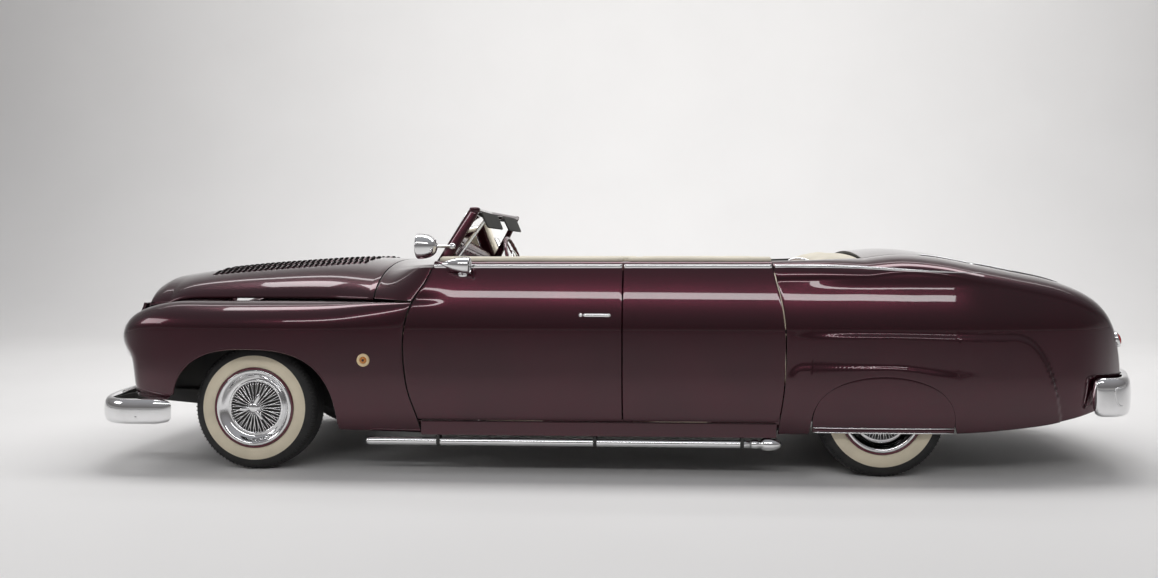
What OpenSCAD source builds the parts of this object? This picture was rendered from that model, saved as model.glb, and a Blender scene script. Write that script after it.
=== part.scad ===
// Custom four-door convertible car of the 1950s, lowered and lengthened.
// Frame: nose towards -X, left side towards -Y, up +Z, origin on the ground under the middle of the box.

/* [Wheels and axles] */
// Front axle, from the origin
front_axle_x = -2005; // [-2030:5:-1980]
// Rear axle, from the origin
rear_axle_x = 1469; // [1455:1:1485]
// Outer radius of a tyre
tyre_r = 350; // [340:1:352]
// Width of a tyre
tyre_w = 190; // [165:5:205]
// Radius of the rim where the tyre sits
rim_r = 196; // [180:1:205]
// Middle of a front tyre, from the centre line
front_track_y = 755; // [745:5:765]
// Middle of a rear tyre, from the centre line
rear_track_y = 770; // [755:5:785]

/* [Body] */
// Half of the greatest body width
half_w = 965; // [955:5:990]
// Height of the belt line
belt_z = 1145; // [1135:5:1160]
// Lowest edge of the sills
sill_z = 223; // [205:1:235]
// Lowest edge of the doors
door_z = 307; // [295:1:320]
// Thickness of a fender or lid
panel_t = 18; // [14:1:22]
// Thickness of a door
door_t = 82; // [70:1:90]
// Gap between two panels
gap = 10; // [9:1:13]

/* [Cabin] */
// Half of the width of a seat
seat_half = 640; // [600:10:680]
// Radius of the steering wheel's rim
wheel_rim_r = 200; // [180:5:215]
// Lean of the steering column from level
column_lean = 18; // [14:1:24]

/* [Bright parts] */
// Radius of a side exhaust pipe
pipe_r = 21; // [17:1:25]
// Radius of a headlight
lamp_r = 80; // [72:1:84]

/* [Hidden] */
$fn = 64;
fit = 0.08;
// Gap between two pieces that are fastened to each other
seat_gap = 2.5;
slack = 0.35;
paint = "#4a0f22";
chrome = "#d8dadc";
cream = "#e9e3d2";
dark = "#2a2a2c";

// ---- Smooth curves -------------------------------------------------------------------------

// Index of the point at the right end of the stretch of t that holds x
function span_end(t, x, i = 1) = i >= len(t) - 1 || x < t[i][0] ? i : span_end(t, x, i + 1);

// Slope of the curve through t at its point i
function slope(t, i) =
    let (a = t[max(i - 1, 0)], b = t[min(i + 1, len(t) - 1)])
    (b[1] - a[1]) / (b[0] - a[0]);

// Height at x of the smooth curve through the points t, level beyond its ends
function curve(t, x) =
    let (i = span_end(t, x), a = t[i - 1], b = t[i], h = b[0] - a[0])
    let (s = min(1, max(0, (x - a[0]) / h)))
    a[1] * (1 + 2 * s) * pow(1 - s, 2) + b[1] * s * s * (3 - 2 * s)
    + h * (slope(t, i - 1) * s * pow(1 - s, 2) - slope(t, i) * s * s * (1 - s));

// Smooth step from 0 at a to 1 at b
function ramp(a, b, x) = let (s = min(1, max(0, (x - a) / (b - a)))) s * s * (3 - 2 * s);

// Straight blend from a to b
function mix(a, b, s) = a + (b - a) * s;

// ---- Body lines ----------------------------------------------------------------------------

// How much narrower the body is than its greatest half width, from nose to tail
taper = [[-2850, 225], [-2780, 165], [-2700, 117], [-2600, 81], [-2450, 50], [-2200, 27],
    [-1800, 15], [-1000, 10], [900, 10], [1400, 0], [1900, 15], [2200, 50], [2450, 100],
    [2650, 170], [2780, 250], [2850, 310], [2900, 365]];
// Seams between the doors and their neighbours, as [z, x]
front_seam = [[223, -1040], [307, -1057], [500, -1110], [760, -1128], [950, -1085], [1060, -1020],
    [1180, -975]];
middle_seam_x = 70;
rear_seam = [[223, 905], [307, 916], [500, 940], [760, 949], [950, 930], [1060, 905], [1180, 880]];
// Front end of a fender, as [z, x]
fender_front = [[400, -2695], [450, -2710], [626, -2745], [700, -2815], [740, -2832], [800, -2832]];
// Crown of the front fender: height, and distance in from the greatest half width
crown_z = [[-2832, 800], [-2760, 865], [-2650, 912], [-2500, 941], [-2300, 945], [-1100, 945]];
crown_in = [[-2832, 265], [-2600, 230], [-2000, 200], [-1600, 165], [-1350, 100], [-1110, 40]];
// Line along which hood and fender meet, in from the greatest half width
valley_in = [[-2832, 355], [-2500, 330], [-2000, 293], [-1600, 230], [-1350, 135], [-1110, 60]];
// Top of the body on the centre line
hood_z = [[-2750, 1083], [-2640, 1100], [-2440, 1126], [-2110, 1157], [-1560, 1190], [-1330, 1180],
    [-950, 1168]];
deck_z = [[1400, 1232], [1600, 1248], [1800, 1232], [2000, 1195], [2200, 1155], [2480, 1095],
    [2700, 1015], [2820, 915], [2880, 790], [2900, 655]];
// Upper edge of the quarter, in from the greatest half width
quarter_in = [[880, 193], [1150, 220], [1400, 325], [1700, 385], [2000, 405], [2900, 405]];
deck_half = half_w - 405;
edge_drop = 34;

axis_side_y = half_w - 10;
hood_rear_x = -1330;
cowl_rear_x = -950;
lid_front_x = 2000;
lid_rear_x = 2890;
tonneau_front_x = 1400;

// Half width of the body side at length x and height z
function body_y(x, z) =
    half_w - curve(taper, x) - 75 * pow(max(0, 560 - z) / 340, 2)
    - 105 * pow(max(0, z - 800) / 345, 1.5);

// Distance from the centre line of the fender's crown, of the valley beside the hood and of the quarter's edge
function crown_y(x) = half_w - curve(crown_in, x);
function valley_y(x) = half_w - curve(valley_in, x);
function quarter_y(x) = half_w - curve(quarter_in, x);

// Height of the deck at length x, y from the centre line
function deck_height(x, y) = curve(deck_z, x) - edge_drop * pow(abs(y) / deck_half, 2);

// Height of the hood's side edge, just over the fender's crown
function hood_low(x) = max(915, curve(crown_z, x) + 8);

// Height of the hood and the cowl at length x, y from the centre line
function hood_height(x, y) =
    let (w = valley_y(x), top = curve(hood_z, x), low = hood_low(x))
    low + (top - low) * pow(max(0, 1 - pow(min(1, abs(y) / w), 2.7)), 0.62);

// ---- Panels --------------------------------------------------------------------------------

// Inner grid of points: the outer one moved back by t along its normals
function inset(g, t) = [for (i = [0:len(g) - 1]) [for (j = [0:len(g[0]) - 1])
    let (u = g[min(i + 1, len(g) - 1)][j] - g[max(i - 1, 0)][j])
    let (v = g[i][min(j + 1, len(g[0]) - 1)] - g[i][max(j - 1, 0)], n = cross(u, v))
    g[i][j] - t * n / norm(n)]];

// Whether the square i, j of an n by m grid is there, with the squares of hole h left out
function kept(i, j, n, m, h) =
    i >= 0 && j >= 0 && i < n - 1 && j < m - 1
    && !(i >= h[0] && i < h[1] && j >= h[2] && j < h[3]);

// Closed thick panel between an outer and an inner grid of points
module panel(outer, inner, h = [0, 0, 0, 0]) {
    n = len(outer);
    m = len(outer[0]);
    o = n * m;
    skin = [for (i = [0:n - 2], j = [0:m - 2]) if (kept(i, j, n, m, h))
        let (a = i * m + j, b = a + m, c = b + 1, d = a + 1)
        each [[a, c, b], [a, d, c], [a + o, b + o, c + o], [a + o, c + o, d + o]]];
    rim = [for (i = [0:n - 2], j = [0:m - 2]) if (kept(i, j, n, m, h))
        let (a = i * m + j, b = a + m, c = b + 1, d = a + 1)
        each [if (!kept(i, j - 1, n, m, h)) [a, b],
            if (!kept(i + 1, j, n, m, h)) [b, c],
            if (!kept(i, j + 1, n, m, h)) [c, d],
            if (!kept(i - 1, j, n, m, h)) [d, a]]];
    walls = [for (e = rim) each [[e[0], e[1], e[1] + o], [e[0], e[1] + o, e[0] + o]]];
    points = concat([for (r = outer) each r], [for (r = inner) each r]);
    polyhedron(points, concat(skin, walls), convexity = 8);
}

// Closed loft through rings of points that all have the same count
module loft(rings) {
    n = len(rings);
    m = len(rings[0]);
    sides = [for (i = [0:n - 2], j = [0:m - 1])
        let (a = i * m + j, b = i * m + (j + 1) % m)
        each [[a, b, b + m], [a, b + m, a + m]]];
    first = [[for (j = [m - 1:-1:0]) j]];
    last = [[for (j = [0:m - 1]) (n - 1) * m + j]];
    polyhedron([for (r = rings) each r], concat(sides, first, last), convexity = 8);
}

// The same piece on the right side
module other_side() {
    mirror([0, 1, 0]) children();
}

// The piece on both sides
module both_sides() {
    children();
    other_side() children();
}

// Outline given as [x, z] points, drawn out from y0 to y1
module slab(points, y0, y1) {
    translate([0, y1, 0]) rotate([90, 0, 0]) linear_extrude(y1 - y0) polygon(points);
}

// Box between two corners
module box(a, b) {
    translate(a) cube(b - a);
}

// ---- Hidden hinges -------------------------------------------------------------------------

arm_in = 70;
arm_out = 90;
arm_h = 24;

// Ring of a hinge's curved arm about its pin line
module hinge_ring(inner, outer, h) {
    difference() {
        cylinder(r = outer, h = h);
        translate([0, 0, -1]) cylinder(r = inner, h = h + 2);
    }
}

// Curved hinge arm between two angles
module hinge_arm(a0, a1) {
    intersection() {
        hinge_ring(arm_in, arm_out, arm_h);
        linear_extrude(arm_h)
            polygon(concat([[0, 0]], [for (a = [a0:(a1 - a0) / 4:a1]) 160 * [cos(a), sin(a)]]));
    }
}

// Block with the slot that a hinge arm slides in
module hinge_block(x0, x1, y0, y1) {
    difference() {
        box([x0, y0, -10], [x1, y1, arm_h + 10]);
        translate([0, 0, -slack]) hinge_ring(arm_in - slack, arm_out + slack, arm_h + 2 * slack);
    }
}

front_hinge_x = -1128 + gap / 2;
rear_hinge_x = 949 - gap / 2;
hinge_heights = [480, 780];

// Places a door hinge, which turns about a vertical line at the skin
module at_door_hinges(x) {
    for (z = hinge_heights) translate([x, -axis_side_y, z]) children();
}

// ---- Doors ---------------------------------------------------------------------------------

door_rows = [0, 0.1, 0.23, 0.37, 0.51, 0.65, 0.79, 0.91];
door_columns = 10;

// One column of a door's skin at length x0 + s * (x1 - x0), both ends given as [z, x] curves
function door_edge(front, rear, s, z) = mix(curve(front, z) + gap / 2, curve(rear, z) - gap / 2, s);
function door_skin(front, rear, s) = concat(
    [for (r = door_rows) let (z = mix(door_z, belt_z, r), x = door_edge(front, rear, s, z))
        [x, -body_y(x, z), z]],
    [for (r = [[0, 0], [18, 20], [42, 28]])
        let (x = door_edge(front, rear, s, belt_z)) [x, r[0] - body_y(x, belt_z), belt_z + r[1]]]);
function door_lining(front, rear, s) = let (pull = 14 * (2 * s - 1)) concat(
    [for (r = door_rows) let (z = mix(door_z, belt_z, r), x = door_edge(front, rear, s, z) - pull)
        [x, door_t - body_y(x, max(560, z)), z]],
    [for (r = [[0, -16], [0, 0], [-4, 16]])
        let (x = door_edge(front, rear, s, belt_z) - pull)
        [x, r[0] + door_t - body_y(x, belt_z), belt_z + r[1]]]);

module door(front, rear) {
    steps = [for (i = [0:door_columns]) i / door_columns];
    panel([for (s = steps) door_skin(front, rear, s)], [for (s = steps) door_lining(front, rear, s)]);
}

middle_seam = [[0, middle_seam_x], [1200, middle_seam_x]];

module front_door() {
    color(paint) union() {
        door(front_seam, middle_seam);
        at_door_hinges(front_hinge_x) hinge_arm(62, 155);
    }
}

module rear_door() {
    color(paint) union() {
        door(middle_seam, rear_seam);
        at_door_hinges(rear_hinge_x) mirror([1, 0, 0]) hinge_arm(62, 155);
    }
}

module front_door_left() front_door();
module front_door_right() other_side() front_door();
module rear_door_left() rear_door();
module rear_door_right() other_side() rear_door();

// ---- Front fenders -------------------------------------------------------------------------

arch_front = 450;
arch_rear = 500;
arch_top = 690;
fender_low = 396;
fender_foot = 240;

// Point of the wheel arch at angle a, as [x, z]
function arch_point(a) =
    let (c = cos(a), s = sin(a), reach = c < 0 ? arch_front : arch_rear, low = c < 0 ? 300 : 240)
    [front_axle_x + reach * sign(c) * pow(abs(c), 2 / 2.6), low + (arch_top - low) * pow(s, 2 / 2.6)];

// Lower edge of the fender, as [x, z], from nose to door
fender_edge = concat([[-2832, 415], [-2795, 410], [-2740, 404], [-2660, 400], [-2570, 397],
    [-2480, fender_low]], [for (a = [166:-14:12]) arch_point(a)],
    [[-1504, fender_foot], [-1400, 238], [-1290, 235], [-1190, 231], [-1128, 228]]);
fender_side = [0, 0.12, 0.28, 0.46, 0.64, 0.82, 1];

// How far the fender reaches in under the edge of the hood
function flange(x) = 30 * ramp(-2832, -2700, x);

// One column of the fender's skin above the point e of its lower edge
function fender_column(e) =
    let (x0 = e[0], top = curve(crown_z, x0), low = min(e[1], top - 60))
    let (shoulder = max(low + 20, top - 150 + 40 * ramp(-2400, -2832, x0)))
    let (nose = ramp(-2480, -2832, x0), tail = ramp(-1400, -1128, x0))
    concat(
        [for (v = fender_side) let (z = mix(low, shoulder, v))
            let (x = x0 + nose * (curve(fender_front, z) + 2832)
                + tail * (curve(front_seam, z) - gap / 2 + 1128))
            [x, -body_y(x, z), z]],
        [for (a = [22:22:88]) let (z = mix(shoulder, top, sin(a)))
            let (x = x0 + nose * (curve(fender_front, z) + 2832)
                + tail * (curve(front_seam, z) - gap / 2 + 1128))
            let (inner = crown_y(x0), y = mix(inner, body_y(x, shoulder), cos(a)))
            [x, -y, z]],
        [let (x = x0 + tail * (curve(front_seam, top) - gap / 2 + 1128))
            [x, flange(x0) - valley_y(x0), top - 10]]);

module fender() {
    skin = [for (e = fender_edge) fender_column(e)];
    color(paint) panel(skin, inset(skin, panel_t));
}

module front_fender_left() fender();
module front_fender_right() other_side() fender();

// ---- Quarters and skirts -------------------------------------------------------------------

skirt_half = 380;
skirt_top = 560;
skirt_low = 262;
quarter_low = [[949, 236], [1080, 240], [1300, 246], [1875, 250], [2305, 285], [2540, 325],
    [2687, 357], [2900, 400]];
quarter_x = [949, 985, 1030, 1075];
quarter_tail_x = [1880, 1950, 2060, 2180, 2300, 2420, 2530, 2630, 2710, 2780, 2830, 2865, 2888, 2898];
quarter_side = [0, 0.1, 0.22, 0.34, 0.47, 0.6, 0.73, 0.87, 1];

// Upper edge of the skirt's opening at angle a, as [x, z]
function skirt_point(a, grow) = [rear_axle_x + (skirt_half + grow) * cos(a),
    skirt_low + (skirt_top - skirt_low + grow) * pow(sin(a), 0.7)];

// Lower edge of the quarter, as [x, z]
quarter_edge = concat([for (x = quarter_x) [x, curve(quarter_low, x)]],
    [for (a = [177:-14.5:3]) skirt_point(a, 0)], [for (x = quarter_tail_x) [x, curve(quarter_low, x)]]);

function quarter_column(e) =
    let (x0 = e[0], y_top = quarter_y(x0))
    let (z_top = x0 < 1400 ? mix(belt_z + 28, deck_height(1400, y_top), ramp(880, 1400, x0))
        : deck_height(x0, y_top))
    let (shoulder = z_top - 105, low = min(e[1], shoulder - 40), lead = ramp(1150, 949, x0))
    concat(
        [for (v = quarter_side) let (z = mix(low, shoulder, v))
            let (x = x0 + lead * (curve(rear_seam, z) + gap / 2 - 949))
            [x, -body_y(x, z), z]],
        [for (a = [18:18:90]) let (z = mix(shoulder, z_top, sin(a)))
            let (x = x0 + lead * (curve(rear_seam, z) + gap / 2 - 949))
            let (side = body_y(x, shoulder), inner = y_top + gap / 2)
            [x, -mix(inner, side, cos(a)), z]]);

module quarter() {
    skin = [for (e = quarter_edge) quarter_column(e)];
    color(paint) panel(skin, inset(skin, panel_t));
}

module quarter_left() quarter();
module quarter_right() other_side() quarter();

// One column of a skirt under the point e of its upper edge
function skirt_column(e) = [for (v = [0:0.25:1]) let (z = mix(skirt_low - 12, e[1], v))
    [e[0], -body_y(e[0], z), z]];

module fender_skirts() {
    skin = [for (a = [170:-16:10]) skirt_column(skirt_point(a, -8))];
    inside = panel_t + slack - body_y(rear_axle_x + 60, skirt_top);
    color(paint) both_sides() union() {
        panel(skin, inset(skin, panel_t));
        box([rear_axle_x - 60, inside, skirt_top - 60], [rear_axle_x + 60, inside + 12, skirt_top + 40]);
    }
}

// ---- Hood, cowl, lid and tonneau -----------------------------------------------------------

hood_across = [-1, -0.93, -0.8, -0.63, -0.42, -0.2, 0, 0.2, 0.42, 0.63, 0.8, 0.93, 1];
// The hood's middle from its lip back, as [x, share of the full height there]
hood_nose = [[-2852, 0.12], [-2858, 0.4], [-2845, 0.68], [-2810, 0.86]];
hood_x = [-2750, -2640, -2500, -2330, -2150, -1950, -1750, -1560, -1430, hood_rear_x];

// One row of the hood across the car
function hood_row(x, share) = [for (v = hood_across)
    let (w = valley_y(x) - 4, back = 120 * ramp(-2500, -2858, x) * v * v, z = hood_height(x, v * w))
    [x + back, v * w, hood_low(x) + (z - hood_low(x)) * share]];

module hood() {
    skin = concat([for (p = hood_nose) hood_row(p[0], p[1])], [for (x = hood_x) hood_row(x, 1)]);
    color(paint) union() {
        panel(skin, inset(skin, panel_t));
        for (y = [-300, 300]) translate([hood_rear_x, y, hood_pin_z]) lid_arm(195, 325);
    }
}

// Heights of the pin lines of hood and deck lid
hood_pin_z = curve(hood_z, hood_rear_x);
lid_pin_z = curve(deck_z, lid_front_x);

// Hinge arm and block of a lid, which turn in the x and z plane; angles as seen from the right
module lid_arm(a0, a1) {
    translate([0, arm_h / 2, 0]) rotate([90, 0, 0]) hinge_arm(a0, a1);
}
module lid_block(x0, x1, z0, z1) {
    translate([0, arm_h / 2, 0]) rotate([90, 0, 0]) hinge_block(x0, x1, z0, z1);
}

cowl_steps = [0, 0.2, 0.4, 0.6, 0.8, 1];

// Shape of the cowl at the doors: height, and distance from the centre line of its flatter part
cowl_rear_z = [[0, 1168], [0.2, 1166], [0.42, 1160], [0.63, 1148], [0.8, 1115], [0.93, 1045], [1, 953]];
cowl_rear_y = [[0, 0], [0.2, 300], [0.42, half_w - 375], [0.63, half_w - 185], [1, half_w - 185]];

// Point of the cowl at length x and share v of the way across, from hood shape to door shape
function cowl_point(x, v) =
    let (s = ramp(hood_rear_x, -1000, x), w = valley_y(x) - 2, z2 = curve(cowl_rear_z, abs(v)))
    let (y2 = abs(v) > 0.7 ? body_y(x, z2) : curve(cowl_rear_y, abs(v)))
    [x, mix(v * w, sign(v) * y2, s), mix(hood_height(x, v * w), z2, s)];

// Rear end of the cowl at share v of the way across, cut back where the doors close in front of it
function cowl_end(v) =
    let (p = cowl_point(-1000, v), spare = max(0, body_y(-1000, p[2]) - door_t - gap - abs(p[1])))
    min(cowl_rear_x, curve(front_seam, p[2]) - gap / 2 + 8 * spare);

cowl_skin = [for (s = cowl_steps) [for (v = hood_across)
    cowl_point(mix(hood_rear_x + gap, cowl_end(v), s), v)]];

module cowl() {
    color(paint) union() {
        panel(cowl_skin, inset(cowl_skin, panel_t));
        for (y = [-300, 300]) translate([hood_rear_x, y, hood_pin_z]) lid_block(10, 84, -104, -26);
    }
}

// Everything under the cowl's outer surface
module under_cowl() {
    panel(cowl_skin, [for (row = cowl_skin) [for (p = row) [p[0], p[1], 800]]]);
}

lid_across = [-1, -0.86, -0.65, -0.4, -0.14, 0.14, 0.4, 0.65, 0.86, 1];
lid_x = [lid_front_x, 2100, 2220, 2350, 2480, 2590, 2680, 2750, 2810, 2850, 2875, 2888, lid_rear_x];
tonneau_x = [tonneau_front_x, 1500, 1620, 1740, 1860, lid_front_x - gap];

function deck_row(x, half) = [for (v = lid_across) [x, v * half, deck_height(x, v * half)]];

module deck_lid() {
    skin = [for (x = lid_x) deck_row(x, deck_half - gap / 2)];
    color(paint) union() {
        panel(skin, inset(skin, panel_t));
        for (y = [-380, 380])
            translate([lid_front_x, y, lid_pin_z]) mirror([1, 0, 0]) lid_arm(205, 325);
    }
}

module tonneau_panel() {
    skin = [for (x = tonneau_x) deck_row(x, quarter_y(x) + gap / 2 - seat_gap)];
    color(paint) union() {
        panel(skin, inset(skin, panel_t));
        for (y = [-380, 380])
            translate([lid_front_x, y, lid_pin_z]) mirror([1, 0, 0]) lid_block(10, 96, -104, -14);
    }
}

// ---- Front and rear panels, grille ---------------------------------------------------------

nose_bow = 50;
nose_half = half_w - 355;

// Front face of the body, y from the centre line
function nose_at(y, z) = curve(fender_front, z) - nose_bow * (1 - pow(y / nose_half, 2));

module front_panel() {
    heights = [415, 450, 490, 560, 630, 690, 745, 800, 850, 890, 925];
    skin = [for (v = [1:-1/6:-1.01]) let (y = (nose_half - 25) * v)
        [for (z = heights) [nose_at(y, z) + 45 * ramp(800, 935, z), y, z]]];
    color(paint) union() {
        panel(skin, inset(skin, panel_t), [1, 11, 2, 5]);
        box([-2740, -440, 398.6], [-2700, 440, 430]);
    }
}

// Bars of the grille, which end short of the opening's sides and stand on its lower edge
grille_bars = [516, 550, 584, 616];
grille_half = (nose_half - 25) * 5 / 6 - 4;
grille_foot = 493.2;

module grille() {
    color(chrome) {
        for (z = grille_bars) loft([for (v = [-1:0.2:1.01])
            let (y = v * grille_half, x = nose_at(y, z) + 22)
            [for (a = [0:60:300]) [x + 14 * cos(a), y, z + 11 * sin(a)]]]);
        for (y = [-300, 0, 300])
            box([nose_at(y, 580) + 10, y - 8, grille_foot], [nose_at(y, 580) + 60, y + 8, 625]);
    }
}

module rear_panel() {
    skin = [for (v = [-1:0.25:1]) let (y = v * (half_w - 397 - 2 * seat_gap)) [for (z = [462, 510, 560, 610, 640]) [lid_rear_x - 4, y, z]]];
    color(paint) panel(skin, inset(skin, panel_t));
}

// ---- Bumpers -------------------------------------------------------------------------------

// Loft of a bumper's cross-section along its plan line; p holds [x, y], s the outline [out, up]
function bumper_rings(p, s, z) = [for (i = [0:len(p) - 1])
    let (d = p[min(i + 1, len(p) - 1)] - p[max(i - 1, 0)], n = [d[1], -d[0]] / norm(d))
    [for (q = s) [p[i][0] + n[0] * q[0], p[i][1] + n[1] * q[0], z + q[1]]]];

// Plan of a bumper: its middle at centre_x, rounded back over length to straight ends at end_x
function bumper_plan(centre_x, length, side_y, n, end_x) =
    let (back = centre_x + length)
    concat([for (x = [end_x, (end_x + back) / 2]) [x, side_y]],
        [for (a = [90:-10:-90]) [back - length * pow(cos(a), 2 / n),
            side_y * sign(a) * pow(abs(sin(a)), 2 / n)]],
        [for (x = [(end_x + back) / 2, end_x]) [x, -side_y]]);

front_bumper_z = 352;
rear_bumper_z = 440;

module front_bumper() {
    outline = [[0, -72], [22, -60], [34, -25], [38, 0], [34, 25], [22, 60], [0, 72], [-14, 60], [-14, -60]];
    color(chrome) union() {
        loft(bumper_rings(bumper_plan(-2962, 280, half_w - 40, 3.2, -2530), outline, front_bumper_z));
        both_sides() box([-2960, -440, 330], [-2790, -380, 370]);
    }
}

module rear_bumper() {
    outline = [[0, -105], [24, -90], [36, -35], [38, 0], [36, 35], [24, 90], [0, 105], [-10, 90], [-10, -90]];
    color(chrome) union() {
        mirror([1, 0, 0])
            loft(bumper_rings(bumper_plan(-2962, 240, half_w - 150, 2.6, -2655), outline, rear_bumper_z));
        both_sides() box([2780, -440, 400], [2960, -380, 460]);
    }
}

// ---- Chassis, floor and what they carry ----------------------------------------------------

rail_t = 76;
// Flat underside of the rails, where a jack lifts, and underside of the floor
rail_z = 175;
floor_z = 266;
// Side view of a frame rail, as [x, z]
rail_outline = [[-2790, 330], [-2450, 300], [-1560, 300], [-1380, rail_z], [1100, rail_z], [1250, 440],
    [1790, 440], [1930, 390], [2780, 390], [2780, 470], [1930, 470], [1800, 520], [1230, 520],
    [1062, floor_z - slack], [-1330, floor_z - slack], [-1510, 390], [-2450, 390], [-2790, 400]];

module chassis_frame() {
    color(dark) union() {
        both_sides() slab(rail_outline, -440, rail_t - 440);
        for (x = [-2420, -900, 300, 2300]) box([x, -400, x == 2300 ? 400 : x == -2420 ? 320 : 190],
            [x + 90, 400, x == 2300 ? 460 : x == -2420 ? 380 : 255]);
        box([front_axle_x - 70, -400, 300], [front_axle_x + 70, 400, 380]);
        both_sides() for (z = [215, 465]) {
            box([front_axle_x - 45, -635, z], [front_axle_x + 45, -380, z + 28]);
        }
        both_sides() box([880, -508, 225], [900, -430, 252]);
        both_sides() box([2000, -508, 360], [2020, -430, 400]);
        both_sides() tie_down_plate();
        both_sides() box([front_axle_x - 60, -460, 215], [front_axle_x + 60, -364, 493]);
        both_sides() translate([front_axle_x, -king_y, 215]) cylinder(r = king_r, h = 278);
    }
}

// Plate under a rail with the eye that a transport strap hooks into
eye_r = 14;
eye_place = [2140, -409, 246];
module tie_down_plate() {
    difference() {
        box([eye_place[0] - 35, eye_place[1] - 7, eye_place[2] - 30], [eye_place[0] + 35, eye_place[1] + 7, 392]);
        translate(eye_place + [0, 10, 0]) rotate([90, 0, 0]) cylinder(r = eye_r, h = 20);
    }
}

king_y = 600;
king_r = 12;
spindle_r = 16;

module engine_block() {
    color("#3b3f42") union() {
        box([-1990, -250, 390], [-1400, 250, 880]);
        box([-1400, -140, 390], [-1245, 140, 700]);
        both_sides() box([-1800, -400, 390], [-1700, -240, 440]);
    }
}

module floor_pan() {
    color(dark) union() {
        box([-1226, 20 - half_w + 90, floor_z], [1040, half_w - 110, 284]);
        box([-1060, -120, 284], [1040, 120, 376]);
        box([1040, 120 - half_w + 200, floor_z], [1060, half_w - 320, 560]);
        box([1040, 120 - half_w + 200, 545], [1960, half_w - 320, 563]);
        box([1960, -560, 472], [2868, 560, 490]);
        box([1945, -560, 472], [1960, 560, 563]);
    }
}

// Inner walls of the front wheel wells and housings over the rear wheels
module inner_fenders() {
    color(dark) both_sides() {
        difference() {
            box([-2500, -466, 391], [-1244, -448, 900]);
            box([front_axle_x - 90, -470, 380], [front_axle_x + 90, -440, 520]);
        }
        translate([0, -rear_inner_y, 0]) rotate([90, 0, 0]) difference() {
            translate([rear_axle_x, tyre_r, 0]) cylinder(r = 425, h = 260);
            translate([rear_axle_x, tyre_r, 16]) cylinder(r = 408, h = 260);
            translate([rear_axle_x - 500, -200, -1]) cube([1000, 610, 300]);
        }
    }
}
rear_inner_y = 645;

module firewall() {
    color(dark) union() {
        translate([-1244, 0, 0]) rotate([90, 0, 90]) linear_extrude(18) polygon([[130 - half_w, 266],
            [half_w - 130, 266], [half_w - 130, 903], [half_w - 265, 1042], [half_w - 465, 1103],
            [0, 1156], [465 - half_w, 1103], [265 - half_w, 1042], [130 - half_w, 903]]);
        slab([[-1226, 284], [-1226, 520], [-1215, 520], [-1060, 300], [-1060, 284]], 150 - half_w, half_w - 150);
    }
}

// Sills, hinge pillars with their hinge blocks and fender brackets, and centre posts
module door_frames() {
    post_y = axis_side_y - 104;
    color(paint) both_sides() {
        slab([[-1035, sill_z], [-1035, door_z - 12], [898, door_z - 12], [898, sill_z]], 45 - half_w,
            110 - half_w);
        union() {
            box([front_hinge_x - 100, -post_y, 284], [front_hinge_x - 12, 20 - post_y, 900]);
            box([front_hinge_x - 100, 28.5 - half_w, 610], [front_hinge_x - 70, -post_y, 650]);
            at_door_hinges(front_hinge_x) hinge_block(-100, -12, 28, 104.5);
        }
        union() {
            box([rear_hinge_x + 12, -post_y, 284], [rear_hinge_x + 90, 20 - post_y, 900]);
            box([rear_hinge_x + 60, 26.5 - half_w, 610], [rear_hinge_x + 90, -post_y, 650]);
            at_door_hinges(rear_hinge_x) mirror([1, 0, 0]) hinge_block(-90, -12, 28, 104.5);
        }
        box([middle_seam_x - 45, 225 - half_w, 284], [middle_seam_x + 45, 265 - half_w, 1120]);
    }
}

// ---- Lights, glass and trim ----------------------------------------------------------------

module headlights() {
    color(chrome) both_sides() union() {
        translate([-2775, 297 - half_w, 690]) rotate([0, -90, 0]) rotate_extrude()
            polygon([[0, -60], [lamp_r, -60], [lamp_r, 0], [lamp_r - 12, 8], [58, 22], [0, 30]]);
        box([-2735, panel_t + 3 - body_y(-2735, 690), 650], [-2715, 365 - half_w, 730]);
    }
}

pillar_foot = [-998, 223 - half_w, 1100];
pillar_top = [-800, 325 - half_w, 1465];
centre_foot = [-1100, 0, 1148];
centre_top = [-862, 0, 1472];

// Straight bar of w by t between two points
module bar(a, b, w, t) {
    hull() {
        translate(a) cube([w, t, 14], center = true);
        translate(b) cube([w, t, 14], center = true);
    }
}

// Pillars, header and divider
module windshield_bars() {
    both_sides() bar(pillar_foot, pillar_top, 70, 30);
    both_sides() hull() {
        translate(pillar_top) cube([62, 36, 30], center = true);
        translate(centre_top) cube([62, 36, 30], center = true);
    }
    bar(centre_foot, centre_top, 26, 16);
}

module windshield_frame() {
    color(paint) difference() {
        windshield_bars();
        for (back = [0, 6]) translate([back, 0, 0.4]) under_cowl();
    }
}

// Column of a pane at share t of the way from its pillar to the divider
function pane_column(t, dx) =
    let (foot = mix(pillar_foot + [0, 16.6, 0], centre_foot - [0, 9.4, 0], t))
    let (top = mix(pillar_top + [0, 16.6, -16.6], centre_top - [0, 9.4, 16.6], t))
    let (low = max([for (i = [0:6]) cowl_height(foot[0] + 10 * i, foot[1])]) + 1.5)
    [for (v = [0, 1]) mix(foot, top, mix((low - foot[2]) / (top[2] - foot[2]), 1, v)) + [dx, 0, 0]];

// Height of the cowl's top at length x, y from the centre line
function cowl_height(x, y) =
    curve([for (v = [0, 0.2, 0.42, 0.63, 0.8]) let (p = cowl_point(x, v)) [p[1], p[2]]], abs(y));

module windshield_glass() {
    color("#9fb3b8", 0.4) both_sides() panel([for (t = [0:0.2:1]) pane_column(t, -3)],
        [for (t = [0:0.2:1]) pane_column(t, 3)]);
}

lamp_place = [-1052, 165 - half_w, 1255];

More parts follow.
